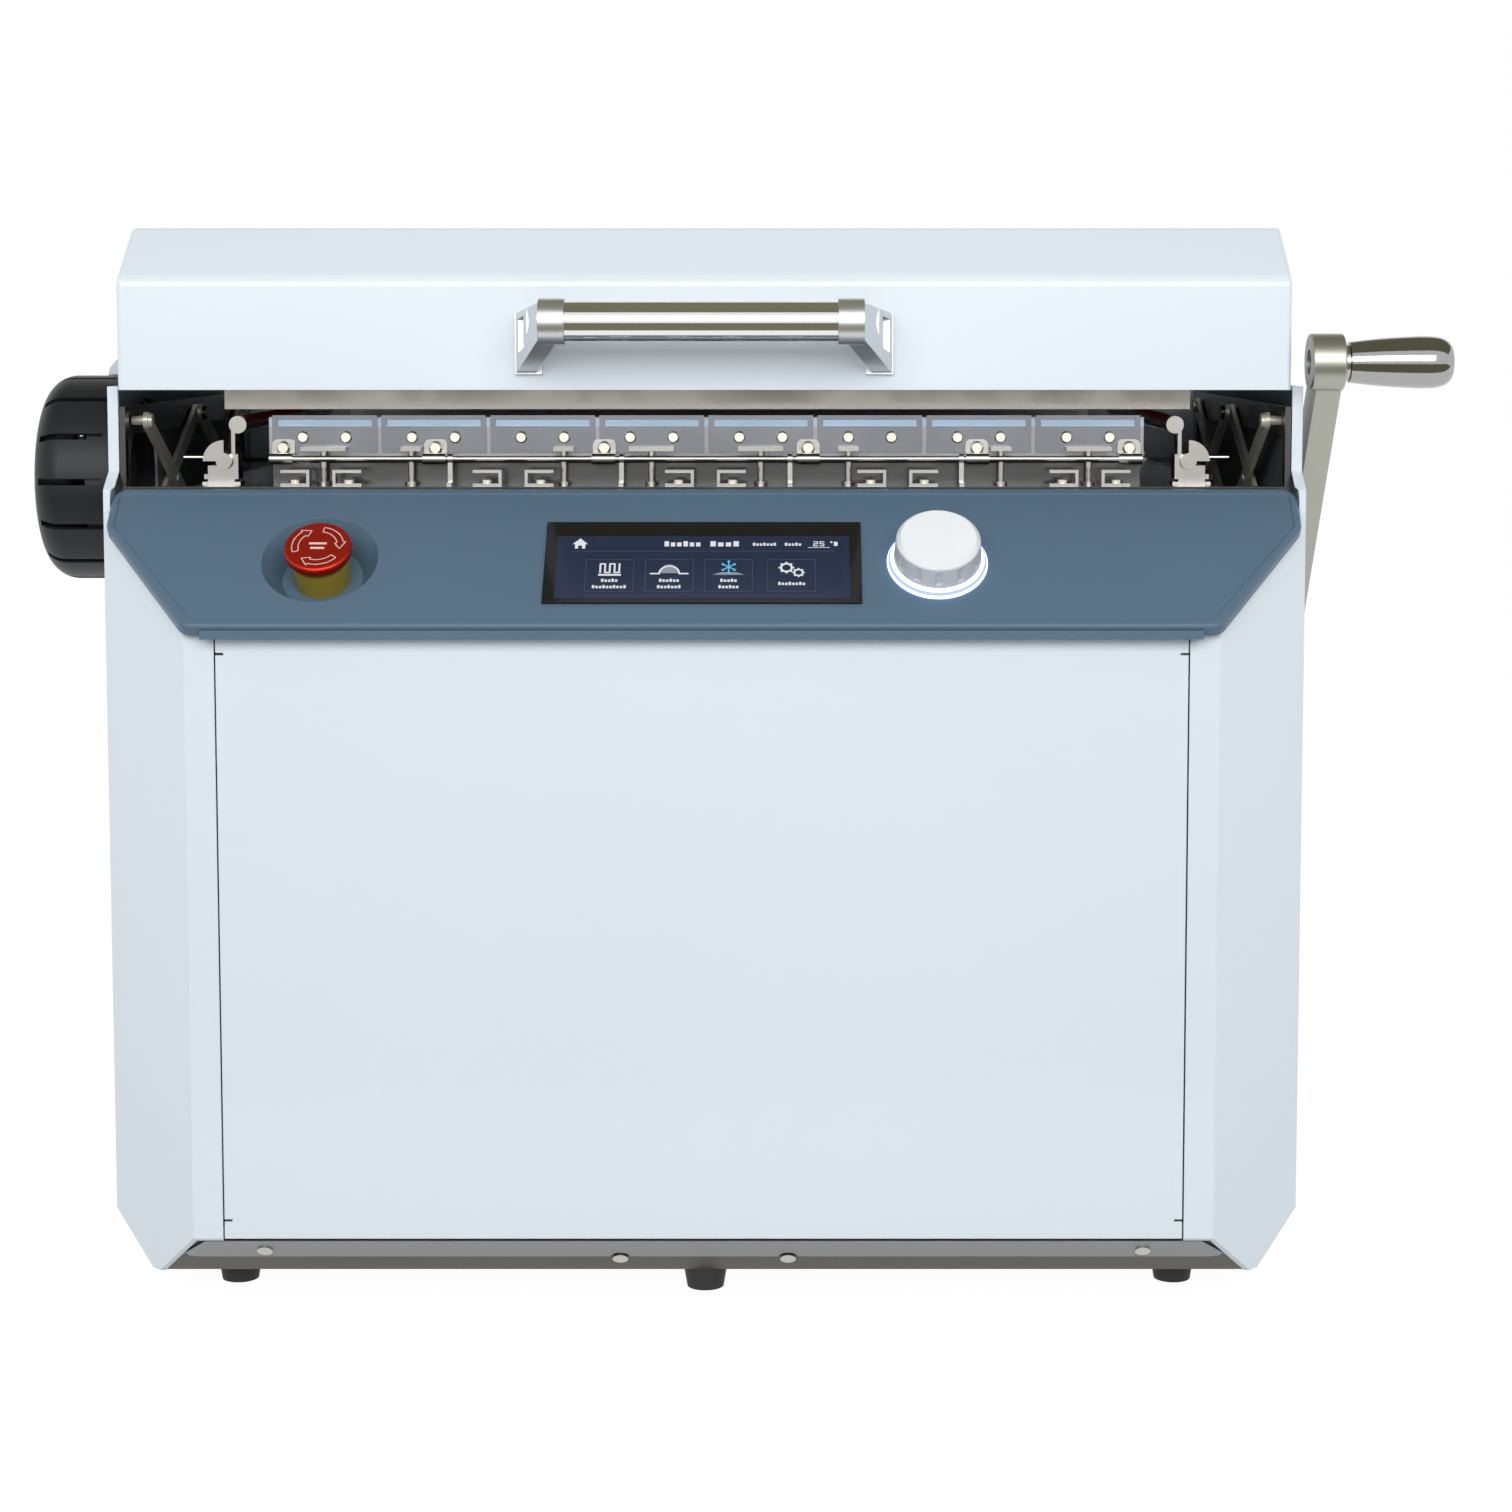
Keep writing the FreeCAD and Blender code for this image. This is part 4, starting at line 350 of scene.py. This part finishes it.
def flatPiece(name, outlines, centreU, centreS, level, thick, finish, body):
    # thin raised shapes on the console, each outline a list of (u, s) points about a centre
    shape = bmesh.new()
    for outline in outlines:
        low = [shape.verts.new(onConsole(centreU + u, centreS + s, level)) for u, s in outline]
        high = [shape.verts.new(onConsole(centreU + u, centreS + s, level + thick)) for u, s in outline]
        shape.faces.new(high)
        shape.faces.new(list(reversed(low)))
        for i in range(len(outline)):
            k = (i + 1) % len(outline)
            shape.faces.new([low[i], low[k], high[k], high[i]])
    bmesh.ops.recalc_face_normals(shape, faces=shape.faces)
    mesh = bpy.data.meshes.new(name)
    shape.to_mesh(mesh)
    shape.free()
    mesh.materials.append(finishes[finish])
    piece = bpy.data.objects.new(name, mesh)
    scene.collection.objects.link(piece)
    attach(piece, body)
    return piece


def bar(u, s, width, height):
    return [(u - width / 2, s - height / 2), (u + width / 2, s - height / 2),
            (u + width / 2, s + height / 2), (u - width / 2, s + height / 2)]


def stroke(u0, s0, u1, s1, width):
    along = Vector((u1 - u0, s1 - s0)).normalized()
    across = Vector((-along.y, along.x)) * width / 2
    return [(u0 + across.x, s0 + across.y), (u0 - across.x, s0 - across.y),
            (u1 - across.x, s1 - across.y), (u1 + across.x, s1 + across.y)]


def disc(u, s, radius, count=24):
    return [(u + radius * math.cos(2 * math.pi * i / count), s + radius * math.sin(2 * math.pi * i / count))
            for i in range(count)]


def arcBand(radius, width, first, last, u=0.0, s=0.0, count=20):
    angles = [math.radians(first + (last - first) * i / count) for i in range(count + 1)]
    far, near = radius + width / 2, radius - width / 2
    outer = [(u + far * math.cos(a), s + far * math.sin(a)) for a in angles]
    inner = [(u + near * math.cos(a), s + near * math.sin(a)) for a in reversed(angles)]
    return outer + inner


def ringOfTeeth(u, s, radius, width, count):
    shapes = [arcBand(radius, width, 0, 180, u, s), arcBand(radius, width, 180, 360, u, s)]
    root, tip = radius + width * 0.3, radius + width * 1.15
    for i in range(count):
        angle = 2 * math.pi * i / count
        cos, sin = math.cos(angle), math.sin(angle)
        shapes.append(stroke(u + root * cos, s + root * sin, u + tip * cos, s + tip * sin, width * 0.9))
    return shapes


screen = {
    "u": 0.0, "s": 57.8, "face": 1.6,
    "width": 148.0, "height": 43.4,
    "tiles": [-46.8, -16.8, 13.1, 44.8],
    "tileWidth": 24.0, "tileHeight": 22.0, "tileS": 6.0,
    "headS": -16.1, "ruleS": -10.9, "iconS": 2.4, "line": 0.9,
    "captions": [[5, 10], [6, 7], [5, 6], [8]], "captionPitch": 1.75, "captionHeight": 2.1,
    "captionS": [9.4, 13.8], "captionMiddle": 11.6,
    "displayThick": 0.1, "markLift": 0.12, "markThick": 0.06, "hairline": 0.25, "ruleSet": 14,
    "reading": "25",
}
sevenBars = {"2": "abged", "5": "afgcd"}


def screenShape(name, outlines, finish, level=0.0):
    t = screen
    lift = t["face"] + t["markLift"] + level
    return flatPiece(name, outlines, t["u"], t["s"], lift, t["markThick"], finish, "cabinet")


def tileFrame(u, s, width, height, line):
    return [bar(u, s - height / 2, width, line), bar(u, s + height / 2, width, line),
            bar(u - width / 2, s, line, height), bar(u + width / 2, s, line, height)]


def markRow(u, s, count, pitch, height):
    # a row of plain marks in the place of a word
    first = u - pitch * (count - 1) / 2
    marks = []
    for i in range(count):
        tall = i % 3 == 0
        drop, share = (0.0, 1.0) if tall else (height * 0.12, 0.76)
        marks.append(bar(first + pitch * i, s + drop, pitch * 0.7, height * share))
    return marks


def figureBars(figure, u, s, width, height, line):
    across = {"a": -0.5, "g": 0.0, "d": 0.5}
    upright = {"f": (-0.5, -0.25), "b": (0.5, -0.25), "e": (-0.5, 0.25), "c": (0.5, 0.25)}
    shapes = []
    for part in sevenBars[figure]:
        if part in across:
            shapes.append(bar(u, s + across[part] * height, width + line, line))
        else:
            side, place = upright[part]
            shapes.append(bar(u + side * width, s + place * height, line, height / 2))
    return shapes



header = {
    "homeU": -62.5, "roof": [(-3.8, 0.2), (0.0, -3.8), (3.8, 0.2)],
    "walls": [(-1.8, 1.7, 1.6, 3.2), (1.8, 1.7, 1.6, 3.2), (0, 0.6, 2.2, 1.2)],
    "bigWords": [(-10.6, 6, 3.2), (10.8, 4, 3.9)], "bigHeight": 3.6,
    "smallWords": [(31.0, 7, 1.75), (45.5, 5, 1.75)], "smallHeight": 2.0, "smallDrop": 0.3,
    "figureU": 57.0, "figureStep": 3.2, "figureWidth": 1.9, "figureHeight": 2.9, "figureLine": 0.5,
    "underline": (58.6, 2.6, 11.0, 0.3), "degree": (65.0, -1.2, 0.6), "unit": (67.2, 0.0, 1.9, 2.8),
}


def drawHeader():
    h, level = header, screen["headS"]
    shapes = [h["roof"]] + [bar(*wall) for wall in h["walls"]]
    shapes = [[(u + h["homeU"], s + level) for u, s in shape] for shape in shapes]
    for u, count, pitch in h["bigWords"]:
        shapes += markRow(u, level, count, pitch, h["bigHeight"])
    for u, count, pitch in h["smallWords"]:
        shapes += markRow(u, level + h["smallDrop"], count, pitch, h["smallHeight"])
    for i, figure in enumerate(screen["reading"]):
        place = h["figureU"] + h["figureStep"] * i
        shapes += figureBars(figure, place, level, h["figureWidth"], h["figureHeight"], h["figureLine"])
    u, s, width, height = h["underline"]
    shapes.append(bar(u, level + s, width, height))
    u, s, radius = h["degree"]
    shapes.append(disc(u, level + s, radius, 12))
    u, s, width, height = h["unit"]
    shapes.append(bar(u, level + s, width, height))
    screenShape("screen_header", shapes, "iconWhite")


coilIcon = {"turns": 5, "pitch": 2.4, "rise": -1.4, "height": 6.6, "top": -4.4, "foot": 1.6,
            "base": (3.2, 11.5, 1.2)}


def drawCoil(u, level):
    c, line = coilIcon, screen["line"]
    first = u - c["pitch"] * (c["turns"] - 1) / 2
    shapes = [bar(first + c["pitch"] * i, level + c["rise"], line, c["height"]) for i in range(c["turns"])]
    for i in range(c["turns"] - 1):
        end = c["top"] if i % 2 == 0 else c["foot"]
        shapes.append(bar(first + c["pitch"] * (i + 0.5), level + end, c["pitch"], line))
    drop, width, height = c["base"]
    shapes.append(bar(u, level + drop, width, height))
    screenShape("screen_coil_icon", shapes, "iconWhite")


domeIcon = {"width": 4.8, "height": 6.0, "foot": 2.0, "steps": 16, "arc": 5.0, "line": 0.9, "arcFoot": 2.2,
            "wingU": 7.2, "wingS": 2.4, "wing": 5.0, "lift": 0.03}


def drawDome(u, level):
    d = domeIcon
    angles = [math.pi * i / d["steps"] for i in range(d["steps"] + 1)]
    fill = [(u + d["width"] * math.cos(a), level + d["foot"] - d["height"] * math.sin(a)) for a in angles]
    screenShape("screen_dome_fill", [fill], "iconGrey")
    shapes = [arcBand(d["arc"], d["line"], 180, 360, u, level + d["arcFoot"])]
    shapes += [bar(u + side * d["wingU"], level + d["wingS"], d["wing"], d["line"]) for side in (-1, 1)]
    screenShape("screen_dome_icon", shapes, "iconWhite", d["lift"])


flakeIcon = {"rise": -2.2, "armU": 3.4, "armS": 3.9, "line": 0.7, "dot": 0.7, "lift": 0.03,
             "sheetWide": 8, "sheetNarrow": 4, "sheetLow": 3.2, "sheetHigh": 1.4}


def drawCooling(u, level):
    f = flakeIcon
    shapes = []
    for i in range(6):
        angle = math.pi * i / 3 + math.pi / 6
        tip = (u + f["armU"] * math.cos(angle), level + f["rise"] + f["armS"] * math.sin(angle))
        shapes.append(stroke(u, level + f["rise"], *tip, f["line"]))
        shapes.append(disc(*tip, f["dot"], 12))
    screenShape("screen_cooling_icon", shapes, "iconCyan", f["lift"])
    low, high = level + f["sheetLow"], level + f["sheetHigh"]
    sheet = [(u - f["sheetWide"], low), (u - f["sheetNarrow"], high), (u + f["sheetNarrow"], high),
             (u + f["sheetWide"], low)]
    screenShape("screen_sheet_icon", [sheet], "iconGrey")


# each gear: place, radius, width of its ring and number of teeth
gearIcon = [(-2.6, -1.8, 2.7, 1.1, 8), (3.5, 1.6, 2.1, 0.9, 8)]


def drawGears(u, level):
    shapes = []
    for across, down, radius, width, count in gearIcon:
        shapes += ringOfTeeth(u + across, level + down, radius, width, count)
    screenShape("screen_gear_icon", shapes, "iconWhite")


def drawCaptions():
    t = screen
    shapes = []
    for u, rows in zip(t["tiles"], t["captions"]):
        places = t["captionS"] if len(rows) == 2 else [t["captionMiddle"]]
        for count, s in zip(rows, places):
            shapes += markRow(u, s, count, t["captionPitch"], t["captionHeight"])
    screenShape("screen_caption_marks", shapes, "iconWhite")


def makeScreen():
    t = screen
    flatPiece("screen_display", [bar(0, 0, t["width"], t["height"])], t["u"], t["s"], t["face"],
              t["displayThick"],
              "screenNavy", "cabinet")
    lines = [bar(0, t["ruleS"], t["width"] - t["ruleSet"], t["hairline"])]
    for u in t["tiles"]:
        lines += tileFrame(u, t["tileS"], t["tileWidth"], t["tileHeight"], t["hairline"])
    screenShape("screen_tile_lines", lines, "tileLine")
    drawHeader()
    for draw, u in zip((drawCoil, drawDome, drawCooling, drawGears), t["tiles"]):
        draw(u, t["iconS"])
    drawCaptions()


makeScreen()
print("screen drawn")

ringBands = {
    "u": 118.5, "s": 53.0, "inner": 22.0, "outer": 25.6, "strength": 3.0,
    "base": (0.42, 0.48, 0.58), "rough": 0.25,
    "stops": [(0.0, (0.60, 0.70, 1.0)), (0.42, (0.62, 0.72, 1.0)), (0.52, (0.06, 0.09, 0.20)),
              (0.74, (0.06, 0.09, 0.20)),
              (0.84, (0.55, 0.64, 1.0)), (1.0, (0.40, 0.48, 1.0))],
}


def makeRingLight():
    # light comes out in two bands: one under the knob's edge and one at the ring's rim
    b = ringBands
    group, entry, leave = newGroup("ringBands", [], [("Color", "NodeSocketColor")])
    coords = group.nodes.new("ShaderNodeTexCoord")
    offset = group.nodes.new("ShaderNodeVectorMath")
    offset.operation = "SUBTRACT"
    offset.inputs[1].default_value = onConsole(b["u"], b["s"], 0.0)
    across = group.nodes.new("ShaderNodeVectorMath")
    across.operation = "CROSS_PRODUCT"
    across.inputs[1].default_value = outward
    radius = group.nodes.new("ShaderNodeVectorMath")
    radius.operation = "LENGTH"
    spread = group.nodes.new("ShaderNodeMapRange")
    spread.inputs["From Min"].default_value = b["inner"] * mm
    spread.inputs["From Max"].default_value = b["outer"] * mm
    ramp = group.nodes.new("ShaderNodeValToRGB")
    while len(ramp.color_ramp.elements) < len(b["stops"]):
        ramp.color_ramp.elements.new(0.5)
    for element, (place, color) in zip(ramp.color_ramp.elements, b["stops"]):
        element.position = place
        element.color = (*color, 1.0)
    link = group.links.new
    link(coords.outputs["Object"], offset.inputs[0])
    link(offset.outputs["Vector"], across.inputs[0])
    link(across.outputs["Vector"], radius.inputs[0])
    link(radius.outputs["Value"], spread.inputs["Value"])
    link(spread.outputs["Result"], ramp.inputs["Fac"])
    link(ramp.outputs["Color"], leave.inputs["Color"])
    material = bpy.data.materials.new("ringLight")
    material.use_nodes = True
    shader = material.node_tree.nodes["Principled BSDF"]
    shader.inputs["Base Color"].default_value = (*b["base"], 1.0)
    shader.inputs["Roughness"].default_value = b["rough"]
    shader.inputs["Emission Strength"].default_value = b["strength"]
    bands = material.node_tree.nodes.new("ShaderNodeGroup")
    bands.node_tree = group
    material.node_tree.links.new(bands.outputs["Color"], shader.inputs["Emission Color"])
    mesh = nodes["knob_light_ring"].data
    mesh.materials.clear()
    mesh.materials.append(material)


makeRingLight()
print("knob ring lit")

stopFace = {
    "u": -194.0, "s": 51.0, "level": 10.0, "thick": 0.05,
    "radius": 11.4, "width": 3.2, "line": 0.5, "barb": 1.3, "headAngle": 22,
    "arrows": 3, "tail": -80, "tip": 10,
    "bars": [(0, -1.6, 9.0, 1.4), (0, 1.6, 7.0, 1.4)],
}


def arrowOutline(first, last, f):
    # an open-centred curved arrow: two edges, a closed tail and a pointed head
    outer, inner = f["radius"] + f["width"] / 2, f["radius"] - f["width"] / 2
    head = last - f["headAngle"]
    shapes = [arcBand(outer, f["line"], first, head), arcBand(inner, f["line"], first, head)]

    def point(radius, degrees):
        angle = math.radians(degrees)
        return radius * math.cos(angle), radius * math.sin(angle)
    shapes.append(stroke(*point(inner, first), *point(outer, first), f["line"]))
    tip = point(f["radius"], last)
    for radius, edge in ((outer + f["barb"], outer), (inner - f["barb"], inner)):
        shapes.append(stroke(*point(edge, head), *point(radius, head), f["line"]))
        shapes.append(stroke(*point(radius, head), *tip, f["line"]))
    return shapes


def makeStopMarks():
    f = stopFace
    marks = []
    for i in range(f["arrows"]):
        turn = 360 / f["arrows"] * i
        marks += arrowOutline(turn + f["tail"], turn + f["tip"], f)
    marks += [bar(*place) for place in f["bars"]]
    flatPiece("stop_arrows", marks, f["u"], f["s"], f["level"], f["thick"], "arrowPaint", "stop_button")


makeStopMarks()
print("stop button marked")


# studio

studio = {
    "floorSize": 14.0, "floorRough": 0.6, "floorShare": 0.86,
    "floorColor": (0.50, 0.51, 0.52, 1.0),
    "background": (1.0, 1.0, 1.0, 1.0),
    "floorGlow": 1.12,
    "fill": 0.31,
    "cardColor": (0.20, 0.19, 0.125),
    "fillColor": (0.93, 0.97, 1.0, 1.0), "lampTarget": (0, 0, 0.3), "keyTarget": (0, 0, 0.40),
}


softboxes = {
    "frontBox": {"place": (0.0, -1.7, 1.0), "target": studio["keyTarget"], "sizeX": 1.8, "sizeY": 0.7,
                 "power": 21.5},
    "leftBox": {"place": (-2.2, 0.2, 1.0), "target": studio["lampTarget"], "sizeX": 1.2, "sizeY": 1.8,
                "power": 12.0,
                "mirrored": False},
    "rightBox": {"place": (2.2, 0.2, 1.0), "target": studio["lampTarget"], "sizeX": 1.2, "sizeY": 1.8,
                 "power": 12.0,
                "mirrored": False},
    "backBox": {"place": (0.0, 2.4, 1.2), "target": studio["lampTarget"], "sizeX": 2.0, "sizeY": 1.2,
                "power": 11.0,
                "mirrored": False},
    "topBox": {"place": (0.0, 0.2, 2.2), "target": studio["lampTarget"], "sizeX": 2.4, "sizeY": 1.8,
               "power": 8.0},
}
cards = {
    "overheadCard": [(-2.5, -1.1, 1.7), (2.5, -1.1, 1.7), (2.5, 1.6, 1.9), (-2.5, 1.6, 1.9)],
    "lowCard": [(-2.5, -2.2, 0.22), (2.5, -2.2, 0.22), (2.5, -0.6, 0.01), (-2.5, -0.6, 0.01)],
}


def seenDirectly(tree):
    # one for rays from the camera, or by way of polished metal or glass
    path = tree.nodes.new("ShaderNodeLightPath")
    total = path.outputs["Is Camera Ray"]
    for label in ("Is Glossy Ray", "Is Transmission Ray"):
        either = tree.nodes.new("ShaderNodeMath")
        either.operation = "MAXIMUM"
        tree.links.new(total, either.inputs[0])
        tree.links.new(path.outputs[label], either.inputs[1])
        total = either.outputs[0]
    return total


def makeFloor():
    material = bpy.data.materials.new("floorPale")
    material.use_nodes = True
    tree = material.node_tree
    shader = tree.nodes["Principled BSDF"]
    shader.inputs["Base Color"].default_value = studio["floorColor"]
    shader.inputs["Roughness"].default_value = studio["floorRough"]
    out = tree.nodes["Material Output"]
    white = tree.nodes.new("ShaderNodeEmission")
    white.inputs["Color"].default_value = studio["background"]
    white.inputs["Strength"].default_value = studio["floorGlow"]
    mix = tree.nodes.new("ShaderNodeMixShader")
    fade = tree.nodes.new("ShaderNodeMath")
    fade.operation = "MULTIPLY"
    fade.inputs[1].default_value = studio["floorShare"]
    link = tree.links.new
    link(seenDirectly(tree), fade.inputs[0])
    link(fade.outputs[0], mix.inputs[0])
    link(shader.outputs[0], mix.inputs[1])
    link(white.outputs[0], mix.inputs[2])
    link(mix.outputs[0], out.inputs["Surface"])
    mesh = bpy.data.meshes.new("studio_floor")
    half = studio["floorSize"] / 2
    mesh.from_pydata([(-half, -half, 0), (half, -half, 0), (half, half, 0), (-half, half, 0)], [],
                     [(0, 1, 2, 3)])
    mesh.materials.append(material)
    floor = bpy.data.objects.new("studio_floor", mesh)
    scene.collection.objects.link(floor)


def makeWorld():
    world = bpy.data.worlds.new("studioWorld")
    scene.world = world
    world.use_nodes = True
    tree = world.node_tree
    tree.nodes.clear()
    out = tree.nodes.new("ShaderNodeOutputWorld")
    fill = tree.nodes.new("ShaderNodeBackground")
    fill.inputs["Color"].default_value = studio["fillColor"]
    fill.inputs["Strength"].default_value = studio["fill"]
    seen = tree.nodes.new("ShaderNodeBackground")
    seen.inputs["Color"].default_value = studio["background"]
    seen.inputs["Strength"].default_value = 1.0
    mix = tree.nodes.new("ShaderNodeMixShader")
    link = tree.links.new
    link(seenDirectly(tree), mix.inputs[0])
    link(fill.outputs[0], mix.inputs[1])
    link(seen.outputs[0], mix.inputs[2])
    link(mix.outputs[0], out.inputs["Surface"])


def addCard(name, corners, color):
    # a dark studio card that only shows in polished metal, as bands
    material = bpy.data.materials.new(name)
    material.use_nodes = True
    tree = material.node_tree
    glow = tree.nodes.new("ShaderNodeEmission")
    glow.inputs["Color"].default_value = (*color, 1.0)
    tree.links.new(glow.outputs[0], tree.nodes["Material Output"].inputs["Surface"])
    mesh = bpy.data.meshes.new(name)
    mesh.from_pydata(corners, [], [(0, 1, 2, 3)])
    mesh.materials.append(material)
    card = bpy.data.objects.new(name, mesh)
    card.visible_camera = card.visible_diffuse = card.visible_shadow = card.visible_transmission = False
    scene.collection.objects.link(card)


def addSoftbox(name, place, target, sizeX, sizeY, power, mirrored=True):
    lamp = bpy.data.lights.new(name, "AREA")
    lamp.shape = "RECTANGLE"
    lamp.size, lamp.size_y = sizeX, sizeY
    lamp.energy = power
    lampObject = bpy.data.objects.new(name, lamp)
    lampObject.location = place
    lampObject.rotation_euler = (Vector(target) - Vector(place)).to_track_quat("-Z", "Y").to_euler()
    lampObject.visible_glossy = mirrored
    scene.collection.objects.link(lampObject)


makeFloor()
makeWorld()
for name, settings in softboxes.items():
    addSoftbox(name, **settings)
for name, corners in cards.items():
    addCard(name, corners, studio["cardColor"])
print("studio lit")

view = {"lens": 71.43, "sensor": 36.0, "place": (0.030, -1.715, 0.499), "pitch": 85.0,
        "shift": (-0.0225, -0.1124)}
camera = bpy.data.cameras.new("photoView")
camera.sensor_width = view["sensor"]
camera.lens = view["lens"]
camera.shift_x, camera.shift_y = view["shift"]
cameraObject = bpy.data.objects.new("photoView", camera)
cameraObject.location = view["place"]
cameraObject.rotation_euler = (math.radians(view["pitch"]), 0, 0)
scene.collection.objects.link(cameraObject)
scene.camera = cameraObject
scene.view_settings.view_transform = "Standard"
print("camera set")
